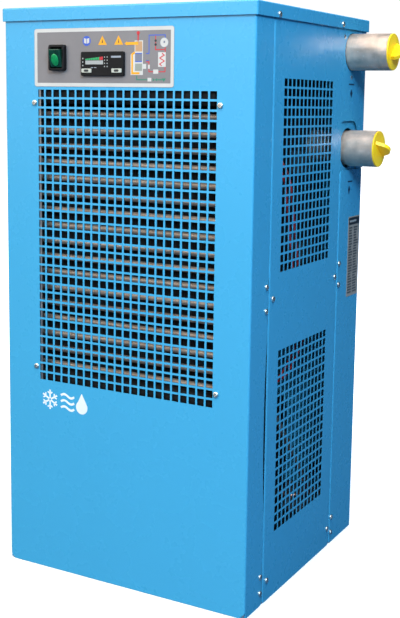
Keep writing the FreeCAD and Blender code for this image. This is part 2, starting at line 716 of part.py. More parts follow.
def insulation(y0, y1):
    """Half of the foam lagging; the two halves meet on the pipe centre plane."""
    shell = block(CORE_X[0] - LAGGING, CORE_X[1] + LAGGING, y0, y1, CORE_Z[0] - LAGGING, CORE_Z[1] + 12)
    shell = soften(shell, 4.0, Z_AXIS)
    holes = [block(*CORE_X, *CORE_Y, *CORE_Z)]
    for z in (UPPER_PIPE_Z, LOWER_PIPE_Z):
        holes.append(rod(CORE_X[1] - 1, PIPE_Y, z, PIPE_INNER_R + SLACK, 40, X_AXIS))
    holes.append(rod(DRAIN_X, DRAIN_Y, CORE_Z[0] - 40, 7, 60, Z_AXIS))
    return shell.cut(holes)


# ---- Condensate drain ----------------------------------------------------------------
def drain_pipe():
    return tube(DRAIN_X, DRAIN_Y, VALVE_Z + 20, 6, 4.5, CORE_Z[0] - VALVE_Z - 20, Z_AXIS)


def drain_ball_valve():
    """Brass ball valve; its stem and nut stand out forwards and carry the lever."""
    top_nut = hexagon(DRAIN_X, DRAIN_Y, VALVE_Z + 8, 21, 12, Z_AXIS)
    low_nut = hexagon(DRAIN_X, DRAIN_Y, VALVE_Z - 20, 21, 12, Z_AXIS)
    ball = Part.makeSphere(14.5, V(DRAIN_X, DRAIN_Y, VALVE_Z))
    boss = rod(DRAIN_X, DRAIN_Y - 26, VALVE_Z, 8, 26, Y_AXIS)
    stem = rod(DRAIN_X, DRAIN_Y - 36, VALVE_Z, 4, 36, Y_AXIS)
    nut = hexagon(DRAIN_X, DRAIN_Y - 36, VALVE_Z, 13, 4.5, Y_AXIS)
    return join([top_nut, low_nut, ball, boss, stem, nut])


def drain_valve_lever():
    y0 = DRAIN_Y - 31
    y1 = y0 + 4.5
    hub = rod(DRAIN_X, y0, VALVE_Z, 9, y1 - y0, Y_AXIS)
    blade = block(DRAIN_X - 7, DRAIN_X + 7, y0, y0 + 3, VALVE_Z - LEVER_LENGTH, VALVE_Z)
    blade = soften(blade, 5.0, Y_AXIS)
    return join([hub, blade]).cut(rod(DRAIN_X, y0 - 1, VALVE_Z, 4.06, 8, Y_AXIS))


def drain_strainer():
    """Angled mesh strainer between the ball valve and the solenoid valve."""
    body = rod(DRAIN_X, DRAIN_Y, VALVE_Z - 62, 9, 42, Z_AXIS)
    start = V(DRAIN_X, DRAIN_Y, VALVE_Z - 30)
    slope = V(1, 0, -1)
    branch = Part.makeCylinder(8.5, 34, start, slope)
    cap = Part.makeCylinder(10, 8, start + slope * 24, slope)
    return join([body, branch, cap])


def solenoid_drain_valve():
    top = VALVE_Z - 62
    body = soften(block(DRAIN_X - 15, DRAIN_X + 15, DRAIN_Y - 14, DRAIN_Y + 14, top - 34, top), 3.0, Z_AXIS)
    outlet = hexagon(DRAIN_X, DRAIN_Y, top - 44, 16, 10, Z_AXIS)
    sleeve = rod(DRAIN_X - 62, DRAIN_Y, top - 17, 6, 50, X_AXIS)
    coil = block(DRAIN_X - 55, DRAIN_X - 21, DRAIN_Y - 17, DRAIN_Y + 17, top - 35, top + 3)
    coil = soften(coil, 4.0, X_AXIS)
    return join([body, outlet, sleeve, coil])


def drain_timer():
    x0, x1 = TIMER_X
    y0, y1 = TIMER_Y
    z0, z1 = TIMER_Z
    case = soften(block(x0, x1, y0, y1, z0, z1), 3.0, Z_AXIS)
    pockets = [rod(x0 + 12, y0 - 1, z0 + 14, 5.4, 6, Y_AXIS),
               rod(x0 + 32, y0 - 1, z0 + 14, 5.4, 6, Y_AXIS),
               rod(x0 + 22, y0 - 1, z0 + 42, 3.4, 7, Y_AXIS)]
    return case.cut(pockets)


def timer_knob(x):
    z = TIMER_Z[0] + 14
    y0 = TIMER_Y[0]
    knob = rod(x, y0 - 3, z, 5, 7.5, Y_AXIS)
    return knob.cut(block(x - 0.6, x + 0.6, y0 - 4, y0 - 1.8, z - 6, z + 6))


def timer_test_button():
    x = TIMER_X[0] + 22
    z = TIMER_Z[0] + 42
    button = rod(x, TIMER_Y[0] - 2.5, z, 3, 6, Y_AXIS)
    return button.makeFillet(0.6, [e for e in button.Edges if e.BoundBox.YMax < TIMER_Y[0] - 2.4])


def drain_hose():
    top = VALVE_Z - 62 - 44
    route = [(DRAIN_X, DRAIN_Y, top), (DRAIN_X, DRAIN_Y, OUTLET_Z), (DRAIN_X, HALF_D - 22, OUTLET_Z)]
    return bent_tube(route, 6, 4, 24)


def drain_outlet():
    """Bulkhead fitting with a hose barb outside the rear sheet."""
    thread = rod(DRAIN_X, HALF_D - 22, OUTLET_Z, OUTLET_R, 28, Y_AXIS)
    inner_nut = hexagon(DRAIN_X, HALF_D - SHEET - 7, OUTLET_Z, 22, 7, Y_AXIS)
    outer_nut = hexagon(DRAIN_X, HALF_D, OUTLET_Z, 22, 7, Y_AXIS)
    spigot = rod(DRAIN_X, HALF_D + 6, OUTLET_Z, 5, 22, Y_AXIS)
    body = join([thread, inner_nut, outer_nut, spigot])
    return body.cut(rod(DRAIN_X, HALF_D - 10, OUTLET_Z, 3, 50, Y_AXIS))


# ---- Refrigeration -------------------------------------------------------------------
def domed_drum(radius, low, high, dome_r):
    """Upright drum whose ends are parts of a sphere, with a rounded knuckle."""
    drum = rod(COMPRESSOR_X, COMPRESSOR_Y, low, radius, high - low, Z_AXIS)
    for centre_z in (high - dome_r, low + dome_r):
        ball = Part.makeSphere(dome_r, V(COMPRESSOR_X, COMPRESSOR_Y, centre_z))
        column = rod(COMPRESSOR_X, COMPRESSOR_Y, (low + high) / 2, radius + 1, high, Z_AXIS)
        if centre_z < (low + high) / 2:
            column = column.translated(V(0, 0, -high))
        drum = drum.cut(column.cut(ball))
    rims = [e for e in drum.Edges if e.Curve.TypeId == "Part::GeomCircle" and e.Curve.Radius > radius - 1]
    return drum.makeFillet(KNUCKLE_R, rims)


def compressor_shell():
    """Hollow welded steel shell with its lap seam."""
    outer = domed_drum(COMPRESSOR_R, COMPRESSOR_LOW, COMPRESSOR_HIGH, DOME_R)
    inner = domed_drum(COMPRESSOR_R - SHELL_WALL, COMPRESSOR_LOW + SHELL_WALL, COMPRESSOR_HIGH - SHELL_WALL,
                       DOME_R - SHELL_WALL)
    seam = tube(COMPRESSOR_X, COMPRESSOR_Y, 190, COMPRESSOR_R + 2.5, COMPRESSOR_R - 2, 5, Z_AXIS)
    return join([outer, seam]).cut(inner)


def foot_corners():
    reach = FOOT_HALF - 14
    return [(COMPRESSOR_X + sx * reach, COMPRESSOR_Y + sy * reach) for sx in (-1, 1) for sy in (-1, 1)]


def compressor_foot():
    low, high = FOOT_Z
    plate = block(COMPRESSOR_X - FOOT_HALF, COMPRESSOR_X + FOOT_HALF,
                  COMPRESSOR_Y - FOOT_HALF, COMPRESSOR_Y + FOOT_HALF, low, high)
    plate = soften(plate, 12.0, Z_AXIS)
    middle = rod(COMPRESSOR_X, COMPRESSOR_Y, low - 1, 40, 8, Z_AXIS)
    holes = [rod(x, y, low - 4, FOOT_BOLT_R + 1, 12, Z_AXIS) for x, y in foot_corners()]
    return plate.cut([middle] + holes)


def compressor_grommets():
    height = FOOT_Z[0] - BASE_SHEET
    grommets = [tube(x, y, BASE_SHEET, GROMMET_R, FOOT_BOLT_R + 1, height, Z_AXIS) for x, y in foot_corners()]
    return Part.Compound(grommets)


def compressor_bolts():
    bolts = []
    for x, y in foot_corners():
        shank = rod(x, y, BASE_SHEET, FOOT_BOLT_R, 36, Z_AXIS)
        nut = hexagon(x, y, FOOT_Z[1] + HOLE_FIT, 13, 6, Z_AXIS)
        bolts.append(join([shank, nut]))
    return Part.Compound(bolts)


def compressor_terminal_cover():
    y0 = COMPRESSOR_Y - COMPRESSOR_R - 24
    cover = block(COMPRESSOR_X - 30, COMPRESSOR_X + 30, y0, y0 + 40, 110, 178)
    cover = soften(cover, 5.0, Y_AXIS)
    return cover.cut(rod(COMPRESSOR_X, COMPRESSOR_Y, 100, COMPRESSOR_R + 0.2, 90, Z_AXIS))


def tube_rows():
    first = CORE_CENTRE_Z - (TUBE_ROWS - 1) / 2 * TUBE_PITCH
    return [first + row * TUBE_PITCH for row in range(TUBE_ROWS)]


def condenser_tubes():
    """Straight tubes of every row, with return bends that join neighbours outside the end plates."""
    solids = []
    bend = TUBE_PITCH / 2
    for y in TUBE_COLUMN_YS:
        rows = tube_rows()
        points = []
        side = 1
        points.append((-side * TUBE_HALF, y, rows[0]))
        for row, z in enumerate(rows):
            reach = side * (END_PLATE_X + bend + 2)
            if row == len(rows) - 1:
                points.append((side * TUBE_HALF, y, z))
            else:
                points.append((reach, y, z))
                points.append((reach, y, rows[row + 1]))
            side = -side
        solids.append(bent_tube(points, TUBE_R, TUBE_R - 0.7, bend - 0.05))
    return Part.Compound(solids)


def condenser_fins():
    """Upright fins behind the bare front tubes; the other tubes pass through a hole in each."""
    rows = tube_rows()
    low = rows[0] - TUBE_PITCH / 2
    high = rows[-1] + TUBE_PITCH / 2

    def circle(y, z):
        return Part.Wire([Part.Circle(V(0, y, z), X_AXIS, TUBE_R).toShape()])

    corners = [V(0, FIN_FRONT, low), V(0, FIN_BACK, low), V(0, FIN_BACK, high), V(0, FIN_FRONT, high)]
    wires = [Part.makePolygon(corners + corners[:1])]
    wires += [circle(y, z) for y in TUBE_COLUMN_YS[1:] for z in rows]
    fin = Part.Face(wires, "Part::FaceMakerBullseye").extrude(X_AXIS * FIN_THICK)
    span = 2 * (END_PLATE_X - 4)
    gap = span / (FIN_COUNT - 1)
    first = -span / 2 - FIN_THICK / 2
    return Part.Compound([fin.translated(V(first + number * gap, 0, 0)) for number in range(FIN_COUNT)])


def condenser_end_plates():
    """Channel at each end: the tubes pass through its web, the grille screws through its front flange."""
    rows = tube_rows()
    plates = []
    for side in (-1, 1):
        web0, web1 = sorted((side * END_PLATE_X, side * (END_PLATE_X - SHEET)))
        web = block(web0, web1, -INNER_D + 0.2, -134, SHROUD_LOW, SHROUD_HIGH)
        lip0, lip1 = sorted((side * (END_PLATE_X - SHEET), side * (END_PLATE_X - END_LIPS[side])))
        lip = block(lip0, lip1, -INNER_D + 0.2, -INNER_D + 0.2 + SHEET, SHROUD_LOW, SHROUD_HIGH)
        holes = [rod(side * (END_PLATE_X - 3), y, z, TUBE_R + 0.1, 6, X_AXIS * side)
                 for y in TUBE_COLUMN_YS for z in rows]
        holes += [rod(x, -INNER_D - 1, z, SCREW_HOLE_R, 6, Y_AXIS) for x, z in FRONT_SCREWS]
        plates.append(join([web, lip]).cut(holes))
    return Part.Compound(plates)


def condenser_seals():
    """Foam strips that close the gap between the grille and the condenser, above and below it."""
    front = -INNER_D + 0.2 + SHEET
    return Part.Compound([block(-SEAL_HALF_W, SEAL_HALF_W, front, SEAL_BACK, low, high) for low, high in SEAL_ZS])


def fan_shroud():
    """Shallow box behind the condenser that narrows the air to the fan ring."""
    front, back = SHROUD_Y
    box = block(-SHROUD_HALF_W, SHROUD_HALF_W, front, back, SHROUD_LOW, SHROUD_HIGH)
    hollow = block(-SHROUD_HALF_W + SHEET, SHROUD_HALF_W - SHEET, front - 1, back - SHEET,
                   SHROUD_LOW + SHEET, SHROUD_HIGH - SHEET)
    ring = rod(0, back - 1, CORE_CENTRE_Z, FAN_OPENING_R + SHEET, 21, Y_AXIS)
    bore = rod(0, back - 12, CORE_CENTRE_Z, FAN_OPENING_R, 40, Y_AXIS)
    return join([box.cut(hollow), ring]).cut(bore)


def fan_guard():
    """Wire rings on four flat arms; the motor hangs on its middle."""
    rings = [Part.makeTorus(r, GUARD_WIRE_R, V(0, GUARD_Y, CORE_CENTRE_Z), Y_AXIS) for r in GUARD_RINGS]
    plate = tube(0, GUARD_Y - 0.5, CORE_CENTRE_Z, MOTOR_R + 3, SHAFT_R + 3, 3.5, Y_AXIS)
    arms = []
    for quarter in range(4):
        arm = block(MOTOR_R + 1, GUARD_RINGS[-1] + 6, GUARD_Y, GUARD_Y + 3, -6, 6)
        arm = arm.translated(V(0, 0, CORE_CENTRE_Z))
        arm.rotate(V(0, 0, CORE_CENTRE_Z), Y_AXIS, 45 + 90 * quarter)
        arms.append(arm)
    return join([plate] + arms + rings)


def fan_motor():
    front = GUARD_Y + 3
    back = front + MOTOR_LENGTH
    body = rod(0, front, CORE_CENTRE_Z, MOTOR_R, MOTOR_LENGTH, Y_AXIS)
    body = body.makeFillet(8, [e for e in body.Edges if e.BoundBox.YMin > back - 1])
    groove_ys = [front + 14.5 + 10 * n for n in range(4)]
    grooves = [tube(0, y, CORE_CENTRE_Z, MOTOR_R + 1, MOTOR_R - 2, 3, Y_AXIS) for y in groove_ys]
    bearing = rod(0, front - 8, CORE_CENTRE_Z, SHAFT_R + 0.06, 30, Y_AXIS)
    return body.cut(grooves + [bearing])


def fan_impeller():
    """Hub on its shaft, with pitched blades."""
    hub = rod(0, FAN_Y - 13, CORE_CENTRE_Z, HUB_R, 26, Y_AXIS)
    hub = hub.makeFillet(5, [e for e in hub.Edges if e.BoundBox.YMax < FAN_Y - 12])
    shaft = rod(0, FAN_Y + 11, CORE_CENTRE_Z, SHAFT_R, 34, Y_AXIS)
    half_thick = 1.0
    stations = ((HUB_R - 4, 50, BLADE_PITCH + 8), (80, 74, BLADE_PITCH), (FAN_R, 66, BLADE_PITCH - 10))
    blades = []
    for number in range(FAN_BLADES):
        sections = []
        for radius, chord, pitch in stations:
            slope = math.radians(pitch)
            dx = math.cos(slope) * chord / 2
            dy = math.sin(slope) * chord / 2 * 0.62
            px = -math.sin(slope) * half_thick
            py = math.cos(slope) * half_thick * 0.62
            corners = [(-dx - px, -dy - py), (dx - px, dy - py), (dx + px, dy + py), (-dx + px, -dy + py)]
            points = [V(a, FAN_Y + b, CORE_CENTRE_Z + radius) for a, b in corners]
            sections.append(Part.makePolygon(points + points[:1]))
        blade = Part.makeLoft(sections, True)
        blade = blade.common(rod(0, FAN_Y - 27, CORE_CENTRE_Z, FAN_R, 60, Y_AXIS))
        blade.rotate(V(0, 0, CORE_CENTRE_Z), Y_AXIS, 360 / FAN_BLADES * number)
        blades.append(blade)
    return join([hub, shaft] + blades)


def filter_dryer():
    """Spindle-shaped liquid filter, upright."""
    x, y, low, high = DRYER
    taper = 25
    neck = 5
    body = Part.makeCylinder(DRYER_R, high - low - 2 * taper, V(x, y, low + taper), Z_AXIS)
    lower = Part.makeCone(neck, DRYER_R, taper, V(x, y, low), Z_AXIS)
    upper = Part.makeCone(DRYER_R, neck, taper, V(x, y, high - taper), Z_AXIS)
    return join([body, lower, upper])


def suction_line():
    left = COMPRESSOR_X - COMPRESSOR_R
    lagging_face = CORE_Y[0] - LAGGING - 0.1
    return bent_tube([(-130, lagging_face, 560), (-130, COMPRESSOR_Y, 560), (-130, COMPRESSOR_Y, PORT_Z),
                      (left, COMPRESSOR_Y, PORT_Z)], 8, 7, 18)


def discharge_line():
    """Out of the shell low on its right, up the slope to the riser and into the top of the condenser."""
    right = COMPRESSOR_X + COMPRESSOR_R
    column_y = TUBE_COLUMN_YS[2]
    inlet_z = tube_rows()[-1]
    return bent_tube([(right, COMPRESSOR_Y, DISCHARGE_Z), (168, COMPRESSOR_Y, DISCHARGE_Z),
                      (RISER_X, COMPRESSOR_Y + 30, DISCHARGE_Z), (RISER_X, RISER_Y, 285),
                      (RISER_X, RISER_Y, inlet_z), (RISER_X, column_y, inlet_z),
                      (TUBE_HALF + 0.1, column_y, inlet_z)], 5, 4.2, 13)


def liquid_line():
    x, y, low, high = DRYER
    start_z = tube_rows()[0]
    return bent_tube([(-TUBE_HALF - 0.1, TUBE_COLUMN_YS[2], start_z), (-196, TUBE_COLUMN_YS[2], start_z),
                      (-196, y, start_z + 30), (x, y, start_z + 30), (x, y, high)], 4, 3.2, 12)


def capillary_tube():
    """Thin tube wound into a short coil between the filter and the evaporator."""
    x, y, low, high = DRYER
    side = 44.0
    coil_x = x - 12
    turns = 5
    drop = 1.0
    z = low - 50
    points = [(x, y, low), (x, y, z)]
    corners = [(0.5, -0.5), (-0.5, -0.5), (-0.5, 0.5), (0.5, 0.5)]
    for step in range(4 * turns):
        u, v = corners[step % 4]
        points.append((coil_x + u * side, y + v * side, z))
        z -= drop
    points.append((coil_x + 0.5 * side, y + 30, z))
    return bent_rod(points, 1.3, 8)


def hot_gas_valve():
    """Bypass valve with its two hot-gas tubes brazed in."""
    x, y, z = BYPASS
    lagging_face = CORE_Y[0] - LAGGING - 0.1
    into = bent_rod([(RISER_X - 5.1, RISER_Y, z), (x, RISER_Y, z), (x, y - 15, z)], 4, 12)
    out = bent_rod([(x, y + 15, z), (x, y + 37, z), (x, y + 37, z + 70), (x, lagging_face, z + 70)], 4, 9)
    body = hexagon(x, y - 17, z, 26, 34, Y_AXIS)
    bonnet = rod(x, y, z, 10, 26, Z_AXIS)
    dome = rod(x, y, z + 20, 20, 9, Z_AXIS)
    dome = dome.makeFillet(3.5, dome.Edges[:1])
    cap = rod(x, y, z + 29, 7, 10, Z_AXIS)
    return join([into, out, body, bonnet, dome, cap])


# ---- Electrics -----------------------------------------------------------------------
def electrical_box():
    x0, x1, y0, y1, z0, z1 = BOX
    wall = BOX_WALL
    box = soften(block(x0, x1, y0, y1, z0, z1), 6.0, Z_AXIS)
    hollow = block(x0 + wall, x1 - wall, y0 + wall, y1 - wall, z0 + wall, z1 - wall)
    feet = [block(x, x + 24, y0, y0 + 18, SHROUD_HIGH, z0) for x in (x0 + 10, x1 - 34)]
    return join([box.cut(hollow)] + feet)


def wiring():
    """Two loose leads from the electrical box down to the compressor terminals."""
    leads = []
    end_x = COMPRESSOR_X + 8
    for shift in (0, 7):
        route = [(40, 40.1 + shift, 820), (40, 66, 820), (150, 66, 640), (186, 60, 372), (186, -10, 322),
                 (end_x, -25, 245), (end_x, -25, 178)]
        leads.append(bent_rod([(x - shift, y - shift, z) for x, y, z in route], 2.2, 12))
    return Part.Compound(leads)


def cable_gland():
    """Gland for the supply lead, through the rear sheet."""
    thread = rod(GLAND_X, HALF_D - 14, OUTLET_Z, GLAND_R, 20, Y_AXIS)
    inner_nut = hexagon(GLAND_X, HALF_D - SHEET - 5, OUTLET_Z, 24, 5, Y_AXIS)
    collar = hexagon(GLAND_X, HALF_D, OUTLET_Z, 24, 6, Y_AXIS)
    dome = rod(GLAND_X, HALF_D + 6, OUTLET_Z, 11.5, 16, Y_AXIS)
    dome = dome.makeFillet(4, [e for e in dome.Edges if e.BoundBox.YMin > HALF_D + 21])
    body = join([thread, inner_nut, collar, dome])
    return body.cut(rod(GLAND_X, HALF_D - 20, OUTLET_Z, LEAD_R, 60, Y_AXIS))


# ---- Every node ----------------------------------------------------------------------
def main():
    os.makedirs("parts", exist_ok=True)
    save("base_plate", base_plate())
    save("front_panel", front_panel())
    save("front_grille", front_grille())
    save("right_panel", right_panel())
    save("right_grilles", side_grilles(1))
    save("left_panel", side_panel(-1))
    save("left_grilles", side_grilles(-1))
    save("rear_panel", rear_panel())
    save("lid", lid())
    save("side_rails", side_rails())
    save("pipe_plate", pipe_plate())
    save("exchanger_bracket", exchanger_bracket())

    save("cabinet_screws", cabinet_screws())

    save("control_label", control_label())
    save("data_label", data_label())
    save("switch_housing", switch_housing())
    save("switch_rocker", switch_rocker())
    save("controller_housing", controller_housing())
    save("left_button", controller_button(BUTTON_XS[0]))
    save("right_button", controller_button(BUTTON_XS[1]))

    save("upper_pipe", air_pipe(UPPER_PIPE_Z, UPPER_REACH))
    save("lower_pipe", air_pipe(LOWER_PIPE_Z, LOWER_REACH))
    save("upper_plug", pipe_plug(UPPER_PIPE_Z, UPPER_REACH, UPPER_WING))
    save("lower_plug", pipe_plug(LOWER_PIPE_Z, LOWER_REACH, LOWER_WING))

    save("heat_exchanger", heat_exchanger())
    save("front_insulation", insulation(CORE_Y[0] - LAGGING, PIPE_Y))
    save("rear_insulation", insulation(PIPE_Y, CORE_Y[1] + LAGGING))

    save("drain_pipe", drain_pipe())
    save("drain_ball_valve", drain_ball_valve())
    save("drain_valve_lever", drain_valve_lever())
    save("drain_strainer", drain_strainer())
    save("solenoid_drain_valve", solenoid_drain_valve())
    save("drain_timer", drain_timer())
    save("interval_knob", timer_knob(TIMER_X[0] + 12))
    save("duration_knob", timer_knob(TIMER_X[0] + 32))
    save("timer_test_button", timer_test_button())
    save("drain_hose", drain_hose())
    save("drain_outlet", drain_outlet())

    save("compressor_shell", compressor_shell())
    save("compressor_foot", compressor_foot())
    save("compressor_grommets", compressor_grommets())
    save("compressor_bolts", compressor_bolts())
    save("compressor_terminal_cover", compressor_terminal_cover())
    save("condenser_tubes", condenser_tubes())
    save("condenser_fins", condenser_fins())
    save("condenser_end_plates", condenser_end_plates())
    save("condenser_seals", condenser_seals())
    save("fan_shroud", fan_shroud())
    save("fan_guard", fan_guard())
    save("fan_motor", fan_motor())
    save("fan_impeller", fan_impeller())
    save("filter_dryer", filter_dryer())
    save("suction_line", suction_line())
    save("discharge_line", discharge_line())
    save("liquid_line", liquid_line())
    save("capillary_tube", capillary_tube())
    save("hot_gas_valve", hot_gas_valve())
    save("electrical_box", electrical_box())
    save("wiring", wiring())
    save("cable_gland", cable_gland())


main()
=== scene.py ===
"""Looks of the refrigerated air dryer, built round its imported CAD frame.

Metres. +X is the side with the air pipes, -Y the front with the controls, +Z up.
"""
import json
import math
import random

import bmesh
import bpy
from mathutils import Matrix, Vector


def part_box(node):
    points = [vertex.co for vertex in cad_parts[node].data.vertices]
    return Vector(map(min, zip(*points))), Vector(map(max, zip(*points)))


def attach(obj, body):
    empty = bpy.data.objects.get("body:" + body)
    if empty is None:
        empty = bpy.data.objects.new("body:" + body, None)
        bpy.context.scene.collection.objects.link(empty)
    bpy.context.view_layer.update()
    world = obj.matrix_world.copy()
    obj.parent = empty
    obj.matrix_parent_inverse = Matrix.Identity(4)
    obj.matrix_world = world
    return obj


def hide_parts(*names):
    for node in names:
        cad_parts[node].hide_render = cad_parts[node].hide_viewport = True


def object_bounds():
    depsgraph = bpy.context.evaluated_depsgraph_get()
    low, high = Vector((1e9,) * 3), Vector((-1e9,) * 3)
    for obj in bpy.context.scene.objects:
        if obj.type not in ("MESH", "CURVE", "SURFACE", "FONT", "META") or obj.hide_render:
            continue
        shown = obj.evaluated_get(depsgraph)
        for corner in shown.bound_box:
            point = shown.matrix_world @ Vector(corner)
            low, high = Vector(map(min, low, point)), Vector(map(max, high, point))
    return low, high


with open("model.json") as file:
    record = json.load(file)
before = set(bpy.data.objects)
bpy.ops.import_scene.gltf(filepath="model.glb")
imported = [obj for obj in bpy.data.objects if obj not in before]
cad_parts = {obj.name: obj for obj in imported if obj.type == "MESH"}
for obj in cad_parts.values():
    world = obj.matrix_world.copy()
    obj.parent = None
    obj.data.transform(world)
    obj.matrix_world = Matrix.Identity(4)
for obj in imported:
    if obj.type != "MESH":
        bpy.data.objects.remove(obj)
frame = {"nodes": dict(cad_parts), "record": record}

CAD_LOW, CAD_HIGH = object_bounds()
NODES = frame["nodes"]
MM = 0.001
RIGHT = Vector((1, 0, 0))
BACK = Vector((0, 1, 0))
UP = Vector((0, 0, 1))
random.seed(7)


# ---- Camera and stage -------------------------------------------------------------------
CAMERA_AT = (0.8855, -1.5502, 0.7601)
CAMERA_TURN = (81.965, -0.867, 28.689)
CAMERA_LENS = 62.14
CAMERA_SENSOR = 36.0
CAMERA_SHIFT = (-0.0206, -0.0890)

# The world's light: the way to its bright side, and where its dark and bright shades start (0 to 1)
BRIGHT_WAY = (-0.62, -0.68, 0.39)
WORLD_DARK_AT, WORLD_DARK = 0.48, (0.03, 0.08, 0.16, 1)
WORLD_BRIGHT_AT, WORLD_BRIGHT = 0.88, (1.30, 1.28, 1.25, 1)
BACKDROP = (1.03, 1.03, 1.03, 1)

FLOOR_SIZE = 20
FLOOR_GAP = 0.2 * MM
FLOOR_SEEN = (0.90, 0.90, 0.90)
FLOOR_REFLECTED = (0.05, 0.12, 0.22)
FLOOR_FADE = (0.2, 1.3)
FLOOR_GLOW = (0.25, 1.0)


def make_camera():
    data = bpy.data.cameras.new("camera")
    data.sensor_width = CAMERA_SENSOR
    data.lens = CAMERA_LENS
    data.shift_x, data.shift_y = CAMERA_SHIFT
    camera = bpy.data.objects.new("camera", data)
    camera.location = CAMERA_AT
    camera.rotation_euler = [math.radians(a) for a in CAMERA_TURN]
    bpy.context.scene.collection.objects.link(camera)
    bpy.context.scene.camera = camera
    bpy.context.scene.view_settings.view_transform = "Standard"


def soft_box(name, at, aim, width, height, power, colour=(1, 1, 1)):
    """Rectangular studio light that points from one place at another."""
    data = bpy.data.lights.new(name, "AREA")
    data.shape = "RECTANGLE"
    data.size = width
    data.size_y = height
    data.energy = power
    data.color = colour
    light = bpy.data.objects.new(name, data)
    light.location = at
    light.rotation_euler = (Vector(aim) - Vector(at)).to_track_quat("-Z", "Y").to_euler()
    bpy.context.scene.collection.objects.link(light)


def make_lights():
    middle = (CAD_LOW + CAD_HIGH) / 2
    soft_box("key", (-1.5, -3.0, 2.5), middle, 2.0, 2.0, 54, (1.0, 0.96, 0.83))
    soft_box("side_fill", (1.75, -1.9, 2.2), middle, 0.8, 0.8, 92, (0.46, 0.74, 1.0))
    soft_box("overhead", (1.0, -1.0, 3.2), middle, 1.8, 1.8, 50)
    soft_box("back_fill", (-1.0, 3.2, 1.8), middle, 2.0, 2.0, 26)


def make_world():
    """White to the camera; as a light it is bright to the front left and bluish to the back right."""
    world = bpy.data.worlds.new("studio")
    bpy.context.scene.world = world
    world.use_nodes = True
    tree = world.node_tree
    backdrop = tree.nodes["Background"]
    sky = tree.nodes.new("ShaderNodeTexCoord").outputs["Generated"]
    lean = tree.nodes.new("ShaderNodeVectorMath")
    lean.operation = "DOT_PRODUCT"
    tree.links.new(sky, lean.inputs[0])
    lean.inputs[1].default_value = BRIGHT_WAY
    ramp = tree.nodes.new("ShaderNodeValToRGB")
    ramp.color_ramp.interpolation = "EASE"
    stops = ((WORLD_DARK_AT, WORLD_DARK), (WORLD_BRIGHT_AT, WORLD_BRIGHT))
    for element, (position, colour) in zip(ramp.color_ramp.elements, stops):
        element.position = position
        element.color = colour
    half = math_node(tree, "MULTIPLY_ADD", lean.outputs["Value"], 0.5, 0.5)
    tree.links.new(half, ramp.inputs["Fac"])
    path = tree.nodes.new("ShaderNodeLightPath")
    white = tree.nodes.new("ShaderNodeMix")
    white.data_type = "RGBA"
    white.inputs[MIX_SECOND].default_value = BACKDROP
    tree.links.new(path.outputs["Is Camera Ray"], white.inputs[MIX_FACTOR])
    tree.links.new(ramp.outputs["Color"], white.inputs[MIX_FIRST])
    tree.links.new(white.outputs[MIX_RESULT], backdrop.inputs["Color"])


def make_floor():
    """Near-white floor with a soft shadow round the cabinet, fading into the backdrop."""
    mesh = bmesh.new()
    bmesh.ops.create_grid(mesh, x_segments=1, y_segments=1, size=FLOOR_SIZE)
    data = bpy.data.meshes.new("floor")
    mesh.to_mesh(data)
    mesh.free()
    floor = bpy.data.objects.new("floor", data)
    floor.location.z = CAD_LOW.z - FLOOR_GAP
    bpy.context.scene.collection.objects.link(floor)
    look = Look("floor_paper", FLOOR_SEEN, 0.9)
    look.set("Specular IOR Level", 0.0)
    path = look.add("ShaderNodeLightPath")
    look.link(look.mix(path.outputs["Is Camera Ray"], FLOOR_REFLECTED, FLOOR_SEEN), "Base Color")
    look.set("Emission Color", (1, 1, 1, 1))
    reach = look.add("ShaderNodeVectorMath")
    reach.operation = "LENGTH"
    look.tree.links.new(look.place, reach.inputs[0])
    far = look.remap(reach.outputs["Value"], *FLOOR_FADE, *FLOOR_GLOW)
    look.link(look.maths("MULTIPLY", far, path.outputs["Is Camera Ray"]), "Emission Strength")
    data.materials.append(look.material)


# ---- Materials ----------------------------------------------------------------------------
# Socket numbers of the Mix node's colour mode
MIX_FACTOR, MIX_FIRST, MIX_SECOND, MIX_RESULT = 0, 6, 7, 2
NOISE_ROUGHNESS = 0.55
NOISE_LOW, NOISE_HIGH = 0.3, 0.7


def math_node(tree, operation, first, second, third=None):
    """One Math node; each input is a number or another node's output."""
    node = tree.nodes.new("ShaderNodeMath")
    node.operation = operation
    for socket, value in zip(node.inputs, (first, second, third)):
        if isinstance(value, bpy.types.NodeSocket):
            tree.links.new(value, socket)
        elif value is not None:
            socket.default_value = value
    return node.outputs["Value"]


